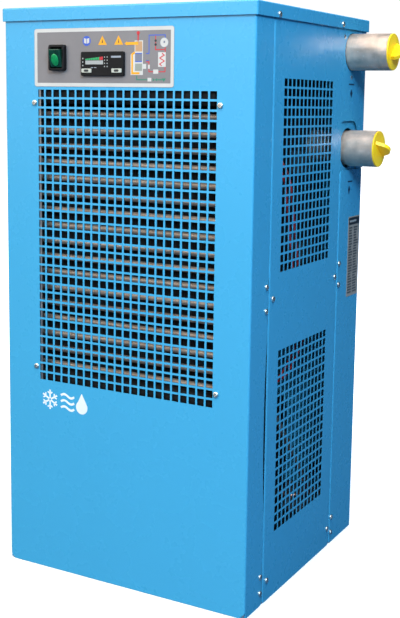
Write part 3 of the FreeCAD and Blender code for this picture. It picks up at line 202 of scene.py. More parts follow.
class Look:
    """A Principled material in object coordinates, which are the row frame's metres."""

    def __init__(self, name, colour, roughness, metallic=0.0):
        self.material = bpy.data.materials.new(name)
        self.material.use_nodes = True
        self.tree = self.material.node_tree
        self.shader = self.tree.nodes["Principled BSDF"]
        self.set("Base Color", (*colour, 1))
        self.set("Roughness", roughness)
        self.set("Metallic", metallic)
        self.place = self.add("ShaderNodeTexCoord").outputs["Object"]

    def add(self, kind):
        return self.tree.nodes.new(kind)

    def set(self, socket, value):
        self.shader.inputs[socket].default_value = value

    def link(self, output, socket):
        self.tree.links.new(output, self.shader.inputs[socket])

    def noise(self, scale, detail, stretch=None):
        """Soft noise from 0 to 1; scale is in waves per metre."""
        node = self.add("ShaderNodeTexNoise")
        node.inputs["Scale"].default_value = scale
        node.inputs["Detail"].default_value = detail
        node.inputs["Roughness"].default_value = NOISE_ROUGHNESS
        source = self.place
        if stretch:
            mapping = self.add("ShaderNodeMapping")
            mapping.inputs["Scale"].default_value = stretch
            self.tree.links.new(self.place, mapping.inputs["Vector"])
            source = mapping.outputs["Vector"]
        self.tree.links.new(source, node.inputs["Vector"])
        return node.outputs["Fac"]

    def cells(self, scale):
        """Voronoi cells; scale is in cells per metre."""
        node = self.add("ShaderNodeTexVoronoi")
        node.inputs["Scale"].default_value = scale
        self.tree.links.new(self.place, node.inputs["Vector"])
        return node

    def remap(self, value, low, high, new_low, new_high):
        """Carries the range low..high over to new_low..new_high."""
        node = self.add("ShaderNodeMapRange")
        sockets = ("From Min", "From Max", "To Min", "To Max")
        for socket, number in zip(sockets, (low, high, new_low, new_high)):
            node.inputs[socket].default_value = number
        self.tree.links.new(value, node.inputs["Value"])
        return node.outputs["Result"]

    def mix(self, factor, first, second):
        """Colour between first and second; each is a colour or another node's output."""
        node = self.add("ShaderNodeMix")
        node.data_type = "RGBA"
        for number, value in ((MIX_FACTOR, factor), (MIX_FIRST, first), (MIX_SECOND, second)):
            socket = node.inputs[number]
            if isinstance(value, bpy.types.NodeSocket):
                self.tree.links.new(value, socket)
            elif isinstance(value, (int, float)):
                socket.default_value = value
            else:
                socket.default_value = (*value, 1)
        return node.outputs[MIX_RESULT]

    def maths(self, operation, first, second=None):
        return math_node(self.tree, operation, first, second)

    def axis(self, letter):
        node = self.add("ShaderNodeSeparateXYZ")
        self.tree.links.new(self.place, node.inputs["Vector"])
        return node.outputs[letter]

    def vary_colour(self, fac, dark, light):
        """Base colour that runs between two shades with the noise."""
        self.link(self.mix(self.remap(fac, NOISE_LOW, NOISE_HIGH, 0, 1), dark, light), "Base Color")

    def vary_roughness(self, fac, low, high):
        self.link(self.remap(fac, NOISE_LOW, NOISE_HIGH, low, high), "Roughness")

    def bump(self, height, distance, strength, under=None):
        """Fine relief, distance metres high, on top of another bump."""
        node = self.add("ShaderNodeBump")
        node.inputs["Strength"].default_value = strength
        node.inputs["Distance"].default_value = distance
        self.tree.links.new(height, node.inputs["Height"])
        if under:
            self.tree.links.new(under, node.inputs["Normal"])
        self.link(node.outputs["Normal"], "Normal")
        return node.outputs["Normal"]


def shade(colour, factor):
    """The colour made darker or lighter by a factor."""
    return tuple(min(1.0, c * factor) for c in colour)


def powder_coat(name, painted_shade_depth):
    """Blue gloss powder coat: orange peel, mottling and dust, with painted shade, near-black, on faces deeper
    than the given depth in mm inside the cabinet.
    """
    blue = (0.054, 0.342, 0.545)
    look = Look(name, blue, 0.28)
    mottle = look.remap(look.noise(5.0, 4), NOISE_LOW, NOISE_HIGH, 0, 1)
    base = look.mix(mottle, shade(blue, 0.99), shade(blue, 1.01))
    fine = look.noise(700, 2)
    base = look.mix(look.remap(fine, 0.35, 0.65, 0, 0.03), base, shade(blue, 1.25))
    specks = look.cells(48)
    near = look.maths("LESS_THAN", specks.outputs["Distance"], 0.018)
    rare = look.maths("GREATER_THAN", look.noise(9, 2), 0.62)
    dust = look.maths("MULTIPLY", look.maths("MULTIPLY", near, rare), 0.22)
    base = look.mix(dust, base, (0.55, 0.74, 0.88))
    if painted_shade_depth:
        # Painted shade: faces deeper inside the cabinet go near-black blue.
        base = look.mix(inside_cabinet(look, painted_shade_depth * MM), base, (0.004, 0.012, 0.022))
    look.link(base, "Base Color")
    look.vary_roughness(look.noise(26, 3), 0.26, 0.29)
    peel = look.bump(look.noise(330, 2), 0.00005, 0.25)
    look.bump(look.noise(2200, 1), 0.00003, 0.35, peel)
    return look.material


def inside_cabinet(look, depth):
    """1 deeper than depth behind the cabinet's outer faces and its top edge, 0 on them and on the lid."""
    within_sides = look.maths("LESS_THAN", look.maths("ABSOLUTE", look.axis("X")), CAD_RIGHT - depth)
    within_ends = look.maths("LESS_THAN", look.maths("ABSOLUTE", look.axis("Y")), -CAD_FRONT - depth)
    under = look.maths("LESS_THAN", look.axis("Z"), SHEET_TOP - depth)
    return look.maths("MULTIPLY", look.maths("MULTIPLY", within_sides, within_ends), under)


def galvanised(name, tone):
    """Zinc-coated sheet: large spangles, streaks and a dull bloom."""
    grey = (tone, tone * 1.005, tone * 1.01)
    look = Look(name, grey, 0.42, 1.0)
    spangle = look.cells(95)
    tint = look.mix(spangle.outputs["Color"], shade(grey, 0.82), shade(grey, 1.12))
    bloom = look.remap(look.noise(18, 4), 0.4, 0.75, 0, 0.5)
    look.link(look.mix(bloom, tint, shade(grey, 0.9)), "Base Color")
    look.vary_roughness(look.noise(60, 4), 0.34, 0.55)
    look.bump(look.noise(240, 3), 0.00008, 0.4)
    return look.material


def pipe_steel():
    """Mill-finish tube: fine drawing lines, warm blotches, chalk scratches and a little rust."""
    grey = (0.84, 0.62, 0.48)
    look = Look("pipe_steel", grey, 0.42, 0.62)
    drawn = look.noise(300, 3, (0.05, 1, 1))
    blotch = look.noise(42, 5, (0.7, 1, 1))
    tint = look.mix(look.remap(blotch, 0.32, 0.68, 0, 1), shade(grey, 0.50), shade(grey, 1.08))
    tint = look.mix(look.remap(drawn, 0.3, 0.7, 0, 0.35), tint, shade(grey, 0.74))
    hoops = look.remap(look.noise(95, 3, (1, 0.12, 0.12)), 0.52, 0.70, 0, 0.50)
    tint = look.mix(hoops, tint, (0.40, 0.33, 0.27))
    chalk = look.remap(look.noise(230, 3, (1, 0.45, 0.45)), 0.68, 0.74, 0, 0.7)
    tint = look.mix(chalk, tint, (0.95, 0.92, 0.86))
    rust = look.remap(look.noise(75, 5), 0.64, 0.78, 0, 0.35)
    look.link(look.mix(rust, tint, (0.36, 0.24, 0.15)), "Base Color")
    look.vary_roughness(blotch, 0.36, 0.56)
    scored = look.bump(drawn, 0.00010, 0.35)
    look.bump(look.noise(160, 4), 0.00018, 0.3, scored)
    return look.material


def zinc():
    """Bright zinc plating with a straw tint, scratched in the recess."""
    look = Look("zinc", (0.78, 0.75, 0.68), 0.26, 1.0)
    look.vary_colour(look.noise(420, 3), (0.62, 0.58, 0.50), (0.88, 0.86, 0.82))
    look.vary_roughness(look.noise(900, 2), 0.18, 0.38)
    look.bump(look.noise(1500, 2), 0.00003, 0.4)
    return look.material


def moulded(name, colour, roughness, gloss=0.5):
    """Moulded plastic: fine spark-eroded grain, faint flow shading and worn shine."""
    look = Look(name, colour, roughness)
    look.vary_colour(look.noise(30, 3), shade(colour, 0.85), shade(colour, 1.18))
    look.set("Specular IOR Level", gloss)
    look.vary_roughness(look.noise(80, 3), roughness - 0.07, roughness + 0.07)
    look.bump(look.noise(1800, 2), 0.00004, 0.6)
    return look.material


def yellow_cap():
    """Soft translucent polyethylene, waxy on top and scuffed, with a faint painted glow that brightens it."""
    yellow = (0.98, 0.60, 0.008)
    look = Look("yellow_cap", yellow, 0.34)
    look.vary_colour(look.noise(40, 3), (0.92, 0.52, 0.005), (1.0, 0.67, 0.014))
    look.set("Subsurface Weight", 0.25)
    look.set("Subsurface Radius", (1.0, 0.55, 0.08))
    look.set("Subsurface Scale", 0.002)
    # Painted light: a faint yellow emission makes the cap look brighter lit.
    look.set("Emission Color", (1.0, 0.60, 0.02, 1))
    look.set("Emission Strength", 0.16)
    look.vary_roughness(look.noise(90, 4), 0.26, 0.46)
    look.bump(look.noise(500, 3), 0.00006, 0.35)
    return look.material


def green_lens():
    """Translucent green rocker moulding."""
    look = Look("green_lens", (0.003, 0.035, 0.018), 0.26)
    look.vary_colour(look.noise(120, 2), (0.002, 0.024, 0.012), (0.004, 0.050, 0.026))
    look.set("Specular IOR Level", 0.35)
    look.set("Coat Weight", 0.25)
    look.set("Coat Roughness", 0.12)
    look.vary_roughness(look.noise(200, 2), 0.18, 0.30)
    look.bump(look.noise(900, 2), 0.00002, 0.3)
    return look.material


def copper():
    """Drawn copper tube with brown bloom and soldered ends."""
    look = Look("copper", (0.86, 0.42, 0.25), 0.32, 1.0)
    look.vary_colour(look.noise(45, 5), (0.55, 0.23, 0.12), (0.93, 0.52, 0.34))
    look.vary_roughness(look.noise(70, 4), 0.24, 0.50)
    look.bump(look.noise(600, 2), 0.00004, 0.3)
    return look.material


def condenser_copper():
    """Condenser tube dulled by storage to a warm beige grey."""
    look = Look("condenser_tube", (0.38, 0.285, 0.22), 0.44, 0.55)
    look.vary_colour(look.noise(22, 4, (0.4, 1, 1)), (0.32, 0.235, 0.18), (0.45, 0.35, 0.28))
    look.set("Specular IOR Level", 0.3)
    look.vary_roughness(look.noise(60, 4), 0.40, 0.50)
    look.bump(look.noise(500, 2, (0.1, 1, 1)), 0.00001, 0.1)
    return look.material


def fin_metal():
    """Black-dipped aluminium fin."""
    look = Look("fin_metal", (0.048, 0.042, 0.040), 0.6, 0.2)
    look.vary_colour(look.noise(60, 4), (0.036, 0.031, 0.029), (0.064, 0.056, 0.053))
    look.set("Specular IOR Level", 0.25)
    look.vary_roughness(look.noise(150, 3), 0.45, 0.68)
    look.bump(look.noise(700, 3), 0.00005, 0.4)
    return look.material


def painted_black(name, roughness):
    """Dull black paint, a little brushed."""
    look = Look(name, (0.009, 0.009, 0.009), roughness)
    look.vary_colour(look.noise(20, 4), (0.005, 0.005, 0.005), (0.014, 0.014, 0.014))
    look.set("Specular IOR Level", 0.07)
    look.vary_roughness(look.noise(50, 4), roughness - 0.06, roughness + 0.12)
    look.bump(look.noise(380, 2), 0.00015, 0.4)
    return look.material


def brass():
    """Machined brass with brown tarnish."""
    look = Look("brass", (0.80, 0.58, 0.25), 0.30, 1.0)
    look.vary_colour(look.noise(55, 4), (0.55, 0.38, 0.15), (0.88, 0.68, 0.34))
    look.vary_roughness(look.noise(90, 4), 0.22, 0.46)
    look.bump(look.noise(800, 2, (1, 1, 0.1)), 0.00004, 0.4)
    return look.material


def solenoid():
    """Brass body to one side of the coil's face, black moulded coil beyond it."""
    low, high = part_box("solenoid_drain_valve")
    look = Look("solenoid", (0.80, 0.58, 0.25), 0.34)
    coil = look.maths("LESS_THAN", look.axis("X"), high.x - 24 * MM)
    metal = look.mix(look.remap(look.noise(60, 4), 0.3, 0.7, 0, 1), (0.55, 0.38, 0.15), (0.86, 0.66, 0.32))
    look.link(look.mix(coil, metal, (0.02, 0.02, 0.022)), "Base Color")
    look.link(look.maths("SUBTRACT", 1.0, coil), "Metallic")
    look.vary_roughness(look.noise(70, 3), 0.28, 0.48)
    look.bump(look.noise(900, 2), 0.00005, 0.4)
    return look.material


def foam():
    """Black closed-cell foam."""
    look = Look("foam", (0.009, 0.008, 0.008), 0.9)
    look.vary_colour(look.noise(35, 4), (0.005, 0.0045, 0.0045), (0.014, 0.013, 0.012))
    look.set("Specular IOR Level", 0.12)
    look.vary_roughness(look.noise(60, 3), 0.82, 0.97)
    pores = look.cells(620)
    coarse = look.bump(pores.outputs["Distance"], 0.0004, 0.5)
    look.bump(look.noise(90, 4), 0.0008, 0.4, coarse)
    return look.material


def machined_aluminium(name, tone, roughness):
    """Milled or rolled aluminium with a fine grain along X."""
    grey = (tone, tone, tone)
    look = Look(name, grey, roughness, 1.0)
    look.vary_colour(look.noise(25, 4), shade(grey, 0.82), shade(grey, 1.08))
    look.vary_roughness(look.noise(70, 4), roughness - 0.08, roughness + 0.14)
    look.bump(look.noise(500, 3, (0.1, 1, 1)), 0.00006, 0.35)
    return look.material


def rubber(name, colour):
    """Dull black rubber or cloth tape."""
    look = Look(name, colour, 0.75)
    look.vary_colour(look.noise(80, 3), shade(colour, 0.7), shade(colour, 1.6))
    look.vary_roughness(look.noise(120, 3), 0.66, 0.88)
    look.bump(look.noise(900, 3), 0.00008, 0.5)
    return look.material


def film(name, colour):
    """Printed polyester film: flat ink under a fine-grained clear layer."""
    roughness = 0.36
    look = Look(name, colour, roughness)
    look.vary_colour(look.noise(25, 3), shade(colour, 0.95), shade(colour, 1.04))
    look.vary_roughness(look.noise(60, 3), roughness - 0.05, roughness + 0.06)
    look.bump(look.noise(2600, 1), 0.00002, 0.4)
    return look.material


def make_looks():
    """One material for each of the record's slots."""
    return {
        "blue_powder_coat": powder_coat("powder_coat", 1.8),
        "galvanised_sheet": galvanised("galvanised", 0.62),
        "zinc_fasteners": zinc(),
        "pipe_steel": pipe_steel(),
        "yellow_cap": yellow_cap(),
        "panel_overlay": film("overlay_grey", (0.205, 0.174, 0.165)),
        "data_plate": film("data_grey", (0.36, 0.29, 0.235)),
        "black_plastic": moulded("black_plastic", (0.007, 0.006, 0.006), 0.48, gloss=0.16),
        "green_lens": green_lens(),
        "key_grey": moulded("key_grey", (0.50, 0.47, 0.38), 0.42),
        "dial_grey": moulded("dial_grey", (0.45, 0.45, 0.44), 0.42),
        "test_red": moulded("test_red", (0.50, 0.02, 0.015), 0.35),
        "exchanger_aluminium": machined_aluminium("exchanger_aluminium", 0.74, 0.36),
        "foam": foam(),
        "brass": brass(),
        "solenoid": solenoid(),
        "lever_red": moulded("lever_red", (0.52, 0.02, 0.015), 0.34),
        "hose": moulded("hose", (0.012, 0.055, 0.30), 0.28),
        "compressor_black": painted_black("compressor_black", 0.40),
        "grommet_rubber": rubber("rubber", (0.022, 0.022, 0.022)),
        "copper": copper(),
        "fin_aluminium": fin_metal(),
        "guard_black": painted_black("guard_black", 0.42),
        "blade_aluminium": machined_aluminium("blade_aluminium", 0.66, 0.42),
        "box_grey": moulded("box_grey", (0.27, 0.28, 0.29), 0.48),
        "lead_red": moulded("lead_red", (0.50, 0.02, 0.015), 0.38),
    }


def dress_nodes(looks):
    """Gives every CAD node the material of its slot, and a few nodes one of their own."""
    for entry in frame["record"]["subparts"]:
        data = NODES[entry["node"]].data
        data.materials.clear()
        data.materials.append(looks[entry["material_slot"]])
    NODES["condenser_tubes"].data.materials[0] = condenser_copper()
    NODES["pipe_plate"].data.materials[0] = powder_coat("plate_coat", 0)
    # Grilles: painted shade, near-black, on the hole walls deeper than 0.5 mm.
    grille_coat = powder_coat("grille_coat", 0.5)
    for grille in ("front_grille", "right_grilles", "left_grilles"):
        NODES[grille].data.materials[0] = grille_coat
    # Painted shade: the shroud seen through the grille's top rows is made black.
    NODES["fan_shroud"].data.materials[0] = painted_black("shroud_shade_black", 0.5)
    # The end plates get a darker copy of the galvanised sheet: painted shade.
    NODES["condenser_end_plates"].data.materials[0] = galvanised("shaded_end_plate", 0.34)


# ---- Printed film ------------------------------------------------------------------------------
FILM = 0.06 * MM
CIRCLE_POINTS = 28
CORNER_STEPS = 5


def circle(u, v, radius):
    turn = 2 * math.pi / CIRCLE_POINTS
    angles = [n * turn for n in range(CIRCLE_POINTS)]
    return [(u + radius * math.cos(a), v + radius * math.sin(a)) for a in angles]


def bar(u0, v0, u1, v1):
    return [(u0, v0), (u1, v0), (u1, v1), (u0, v1)]


def rounded_bar(u0, v0, u1, v1, radius):
    """Rectangle with round corners, anticlockwise."""
    corners = [(u1 - radius, v0 + radius, -90), (u1 - radius, v1 - radius, 0),
               (u0 + radius, v1 - radius, 90), (u0 + radius, v0 + radius, 180)]
    points = []
    for u, v, start in corners:
        for step in range(CORNER_STEPS + 1):
            a = math.radians(start + 90 * step / CORNER_STEPS)
            points.append((u + radius * math.cos(a), v + radius * math.sin(a)))
    return points


def stroke(points, width):
    """Outline of a line of one width with mitred corners."""
    line = [Vector(p) for p in points]
    left, right = [], []
    for n, here in enumerate(line):
        before = (here - line[n - 1]).normalized() if n else None
        after = (line[n + 1] - here).normalized() if n + 1 < len(line) else None
        way = ((before or after) + (after or before)).normalized()
        side = Vector((-way.y, way.x))
        straight = before or after
        reach = width / 2 / max(0.3, side.dot(Vector((-straight.y, straight.x))))
        left.append(tuple(here + side * reach))
        right.append(tuple(here - side * reach))
    return right + left[::-1]


class Print:
    """Flat printed shapes on one face, each a thin film. Sizes are millimetres from a corner."""

    def __init__(self, name, corner, across, up):
        self.name = name
        self.mesh = bmesh.new()
        self.corner = Vector(corner)
        self.across = across
        self.up = up
        self.out = across.cross(up)
        self.inks = []

    def point(self, place, height):
        return self.corner + self.across * (place[0] * MM) + self.up * (place[1] * MM) + self.out * height

    def ink_number(self, ink):
        if ink not in self.inks:
            self.inks.append(ink)
        return self.inks.index(ink)

    def fill(self, points, ink, layer=1):
        """One closed shape."""
        number = self.ink_number(ink)
        low = [self.mesh.verts.new(self.point(p, (layer - 1) * FILM)) for p in points]
        high = [self.mesh.verts.new(self.point(p, layer * FILM)) for p in points]
        faces = [self.mesh.faces.new(high), self.mesh.faces.new(low[::-1])]
        for a, b, c, d in zip(low, low[1:] + low[:1], high[1:] + high[:1], high):
            faces.append(self.mesh.faces.new((a, b, c, d)))
        for face in faces:
            face.material_index = number

    def band(self, outer, inner, ink, layer=1):
        """The strip between two outlines with equally many points."""
        number = self.ink_number(ink)
        loops = []
        for height in ((layer - 1) * FILM, layer * FILM):
            for line in (outer, inner):
                loops.append([self.mesh.verts.new(self.point(p, height)) for p in line])
        low_out, low_in, high_out, high_in = loops
        for first, second in ((high_out, high_in), (low_in, low_out), (low_out, high_out), (high_in, low_in)):
            for n in range(len(outer)):
                m = (n + 1) % len(outer)
                face = self.mesh.faces.new((first[n], first[m], second[m], second[n]))
                face.material_index = number

    def ring(self, u, v, radius, width, ink, layer=1):
        self.band(circle(u, v, radius), circle(u, v, radius - width), ink, layer)

    def make(self, body):
        bmesh.ops.recalc_face_normals(self.mesh, faces=self.mesh.faces)
        return finished(self.name, self.mesh, [INKS[ink] for ink in self.inks], body)


def finished(name, mesh, materials, body, smooth=False):
    """Turns a bmesh into a piece that rides on a body."""
    data = bpy.data.meshes.new(name)
    mesh.to_mesh(data)
    mesh.free()
    for material in materials:
        data.materials.append(material)
    if smooth:
        data.polygons.foreach_set("use_smooth", [True] * len(data.polygons))
    piece = bpy.data.objects.new(name, data)
    bpy.context.scene.collection.objects.link(piece)
    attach(piece, body)
    return piece


INKS = {}


def mix_inks():
    """One film material for each printing colour."""
    colours = {
        "white": (0.58, 0.515, 0.455),
        "mark_white": (0.82, 0.80, 0.78),
        "grey": (0.30, 0.30, 0.32),
        "pale": (0.36, 0.34, 0.31),
        "black": (0.014, 0.014, 0.016),
        "blue": (0.030, 0.085, 0.42),
        "slate": (0.17, 0.165, 0.20),
        "amber": (0.84, 0.33, 0.003),
        "orange": (0.50, 0.26, 0.12),
        "red": (0.56, 0.015, 0.025),
        "green": (0.012, 0.30, 0.085),
        "teal": (0.02, 0.19, 0.11),
        "beige": (0.27, 0.27, 0.22),
        "dark_blue": (0.004, 0.020, 0.060),
        "print_grey": (0.040, 0.038, 0.036),
    }
    for name, colour in colours.items():
        INKS[name] = film("ink_" + name, colour)


def control_artwork():
    """Border, symbols and flow diagram on the overlay round the switch and the controller."""
    low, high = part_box("control_label")
    wide = (high.x - low.x) / MM
    tall = (high.z - low.z) / MM
    art = Print("control_artwork", (low.x, low.y, low.z), RIGHT, UP)
    border = 5.6
    art.band(rounded_bar(0.3, 0.3, wide - 0.3, tall - 0.3, 3.8),
             rounded_bar(border, border, wide - border, tall - border, 0.8), "white")
    symbols(art)
    air_side(art)
    refrigerant_side(art)
    art.make("cabinet")


def symbols(art):
    """A blue disc with an open book, and two plain amber triangles."""
    art.fill(circle(98.2, 68, 7.4), "blue")
    art.fill([(93.4, 65.2), (97.7, 64.0), (97.7, 71.2), (93.4, 72.2)], "white", 2)
    art.fill([(98.7, 64.0), (103.0, 65.2), (103.0, 72.2), (98.7, 71.2)], "white", 2)
    for u in (126.7, 155.7):
        art.fill([(u - 7.8, 61.8), (u + 7.8, 61.8), (u, 75.4)], "amber")
        art.fill([(u - 1.1, 64.8), (u + 1.1, 64.8), (u, 70.8)], "black", 2)


def air_side(art):
    """Cooling column with its air paths."""
    art.fill(circle(189.8, 78.3, 2.7), "red")
    art.fill(bar(188.6, 66.4, 191.0, 76.4), "red")
    art.fill([(183.8, 50.2), (198.2, 50.2), (198.2, 67.5), (183.8, 67.5)], "white")
    art.fill([(176.8, 17.7), (198.2, 17.7), (198.2, 50.2), (183.8, 50.2), (176.8, 47.2)], "white")
    art.fill(bar(184.9, 51.6, 197.0, 66.1), "orange", 2)
    art.fill(stroke([(169, 63.3), (190, 63.3)], 4), "amber", 3)
    art.fill([(166.2, 63.3), (170.6, 60.1), (170.6, 66.5)], "amber", 4)
    art.fill(stroke([(184.4, 50.4), (179.6, 47.6), (179.6, 20.2), (192.4, 20.2)], 3.0), "amber", 2)
    art.fill(bar(184.6, 37.4, 196.8, 48.8), "slate", 2)
    art.fill(bar(184.6, 48.3, 196.8, 49.6), "blue", 3)
    art.fill(bar(184.6, 36.4, 196.8, 37.8), "blue", 3)
    art.fill(bar(184.6, 23.6, 196.8, 34.2), "beige", 2)
    art.fill(stroke([(187.6, 16.6), (187.6, 10.9), (206.0, 10.9)], 1.5), "teal")
    art.fill(bar(206.4, 8.4, 212.8, 13.6), "white")
    art.fill([(215.4, 8.4), (219, 10.9), (215.4, 13.4)], "teal")
    art.fill([(222.6, 8.4), (219, 10.9), (222.6, 13.4)], "teal")
    art.fill(stroke([(223.2, 10.9), (231.4, 10.9)], 1.5), "teal")
    art.fill([(230.6, 12.8), (237.6, 12.8), (234.1, 7.6)], "teal", 2)


def refrigerant_side(art):
    """Refrigerant loop beside the column."""
    art.fill(stroke([(203.6, 48.6), (208.6, 48.6), (208.6, 74.7), (236, 74.7), (236, 70)], 1.4), "blue")
    art.fill(stroke([(219.8, 74), (219.8, 53.9), (236, 53.9), (236, 58.6)], 1.4), "red")
    art.fill(circle(219.8, 66.8, 1.9), "black", 2)
    art.fill(circle(219.8, 61.2, 1.9), "black", 2)
    art.fill(circle(234.4, 64.1, 7.0), "white", 3)
    art.ring(234.4, 64.1, 7.0, 0.6, "grey", 4)
    art.fill(bar(233.2, 63.2, 235.9, 66.4), "slate", 4)
    art.fill(stroke([(236, 53.2), (236, 22.4), (208.6, 22.4), (208.6, 36.6), (203.6, 36.6)], 1.4), "red")
    art.fill(bar(224.2, 29.3, 237.2, 50.3), "white", 2)
    zigzag = [(230.6, 49), (234.8, 46), (226.8, 42), (234.8, 37.6), (226.8, 33.4), (230.6, 30.6)]
    art.fill(stroke(zigzag, 1.4), "red", 3)
    art.fill(bar(216.0, 19.4, 224.6, 25.6), "white", 2)
    art.fill(bar(207.0, 26.6, 210.2, 32.4), "white", 2)
    art.fill(bar(198.0, 26.6, 203.8, 33.6), "white", 2)
    art.fill(stroke([(203.6, 38.4), (208.6, 38.4)], 1.2), "blue", 2)


def controller_artwork():
    """Level bar, marks and blank title on the controller's face."""
    low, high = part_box("controller_housing")
    centre = (low.x + high.x) / 2
    art = Print("controller_artwork", (centre, low.y, 0), RIGHT, UP)
    left, right = -29.9, 2.1
    base, rise = 821.6, 5.0
    steps = 10
    green_steps = 8
    for n in range(steps):
        a = left + (right - left) * n / steps
        b = left + (right - left) * (n + 0.86) / steps
        share_a = 0.35 + 0.65 * n / steps
        share_b = 0.35 + 0.65 * (n + 1) / steps
        ink = "green" if n < green_steps else "red"
        art.fill([(a, base), (b, base), (b, base + rise * share_b), (a, base + rise * share_a)], ink)
    art.fill(bar(left, 815.2, right, 820.9), "pale")
    for row in range(4):
        for column in (3.9, 8.7):
            art.fill(rounded_bar(column, 811.2 + row * 4.6, column + 1.7, 812.9 + row * 4.6, 0.5), "pale")
    for row in range(3):
        art.fill(rounded_bar(-35.6, 812.4 + row * 5.2, -33.6, 814.6 + row * 5.2, 0.6), "pale")
    art.fill(rounded_bar(16.5, 824.8, 34.0, 827.6, 0.6), "grey")
    art.fill(bar(-20.0, 809.9, -15.6, 810.9), "grey")
    art.fill(bar(-14.2, 809.9, -9.8, 810.9), "grey")
    art.make("cabinet")


def key_marks():
    """Black oval on each of the controller's two keys."""
    for side in ("left", "right"):
        low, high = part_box(side + "_button")
        centre = (low + high) / 2
        art = Print(side + "_key_mark", (centre.x, low.y, centre.z), RIGHT, UP)
        art.fill(rounded_bar(-4.2, -1.7, 4.2, 1.7, 1.6), "black")
        art.make(side + "_key")


def front_mark():
    """Plain white pictograms below the grille: cold, air and water."""
    art = Print("front_mark", (-0.153, CAD_FRONT, 0.268), RIGHT, UP)
    snowflake(art, 16.5, 17.5, 16.0)
    for row in range(3):
        wave = [(38 + 2.0 * n, 7.5 + 10 * row + 2.6 * math.sin(n * 2 * math.pi / 13)) for n in range(14)]
        art.fill(stroke(wave, 3.6), "mark_white")
    art.fill(droplet(78.5, 13.0, 11.0), "mark_white")
    art.make("cabinet")


def snowflake(art, u, v, reach):
    """Six arms with a pair of barbs each."""
    for n in range(6):
        a = math.radians(60 * n + 30)
        way = Vector((math.cos(a), math.sin(a)))
        arm = [Vector((u, v)) + way * 1.8, Vector((u, v)) + way * reach]
        art.fill(stroke([tuple(p) for p in arm], 2.9), "mark_white")
        for turn in (-55, 55):
            b = a + math.radians(turn)
            root = Vector((u, v)) + way * reach * 0.58
            tip = root + Vector((math.cos(b), math.sin(b))) * reach * 0.36
            art.fill(stroke([tuple(root), tuple(tip)], 2.3), "mark_white", 2)


def droplet(u, v, radius):
    """Round drop with a point on top."""
    points = []
    for n in range(33):
        a = math.radians(-220 + 260 * n / 32 - 10)
        points.append((u + radius * math.cos(a), v + radius * math.sin(a)))
    points.append((u, v + radius * 2.05))
    return points


def flow_marks():
    """A bar and an arrow under each pipe."""
    art = Print("flow_marks", (CAD_RIGHT, 0, 0), BACK, UP)
    places = ((137.5, 163, 795, 150, 780), (147.5, 167.5, 632, 154, 618))
    for bar_low, bar_high, bar_z, arrow_y, arrow_z in places:
        art.fill(bar(bar_low, bar_z - 1.2, bar_high, bar_z + 1.2), "dark_blue")
        art.fill([(arrow_y, arrow_z - 8), (arrow_y + 6.5, arrow_z + 2), (arrow_y + 2.6, arrow_z + 1.4),
                  (arrow_y + 2.6, arrow_z + 6), (arrow_y - 2.6, arrow_z + 6), (arrow_y - 2.6, arrow_z + 1.4),
                  (arrow_y - 6.5, arrow_z + 2)], "dark_blue")
    art.make("cabinet")


def data_artwork():
    """Dark title strip and ruled rows of blank entries on the data plate."""
    low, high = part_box("data_label")
    plate = Print("data_artwork", (high.x, low.y, low.z), BACK, UP)
    wide = (high.y - low.y) / MM
    tall = (high.z - low.z) / MM
    plate.fill(bar(2, tall - 14.5, wide - 2, tall - 2), "black")
    plate.fill(bar(6, tall - 10, wide - 14, tall - 6.5), "pale", 2)
    margin, letter, pitch = 4, 2.8, 4.7
    row = tall - 21
    while row > 5:
        name_end = 16 + random.random() * 8
        entry = 25 + random.random() * 2
        plate.fill(bar(margin, row, name_end, row + letter), "print_grey")
        width = (0.55 + 0.45 * random.random()) * (wide - entry - margin)
        plate.fill(bar(entry, row, entry + width, row + letter), "print_grey")
        row -= pitch
    plate.make("cabinet")


# ---- Controls ------------------------------------------------------------------------------------
def rocker_window():
    """Bright oval lens in the middle of the rocker's sloping face."""
    low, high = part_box("switch_rocker")
    centre = (low + high) / 2
    drop = 2.7 * MM
    sink = 3.0 * MM
    slope = math.radians(15.3)
    middle = Vector((centre.x, low.y + sink, centre.z - drop))
    half_wide, half_tall, proud = 6.7 * MM, 9.4 * MM, 1.1 * MM
    dome = bmesh.new()
    bmesh.ops.create_uvsphere(dome, u_segments=28, v_segments=14, radius=1)
    turn = Matrix.Rotation(slope, 3, "X")
    for vertex in dome.verts:
        x, y, z = vertex.co
        vertex.co = middle + turn @ Vector((x * half_wide, y * proud, z * half_tall))
    look = Look("window_green", (0.005, 0.20, 0.055), 0.24)
    look.vary_colour(look.noise(150, 2), (0.003, 0.13, 0.036), (0.008, 0.27, 0.075))
    look.set("Emission Color", (0.005, 0.30, 0.08, 1))
    look.set("Emission Strength", 0.06)
    look.bump(look.noise(1200, 2), 0.00002, 0.3)
    finished("rocker_window", dome, [look.material], "rocker", True)


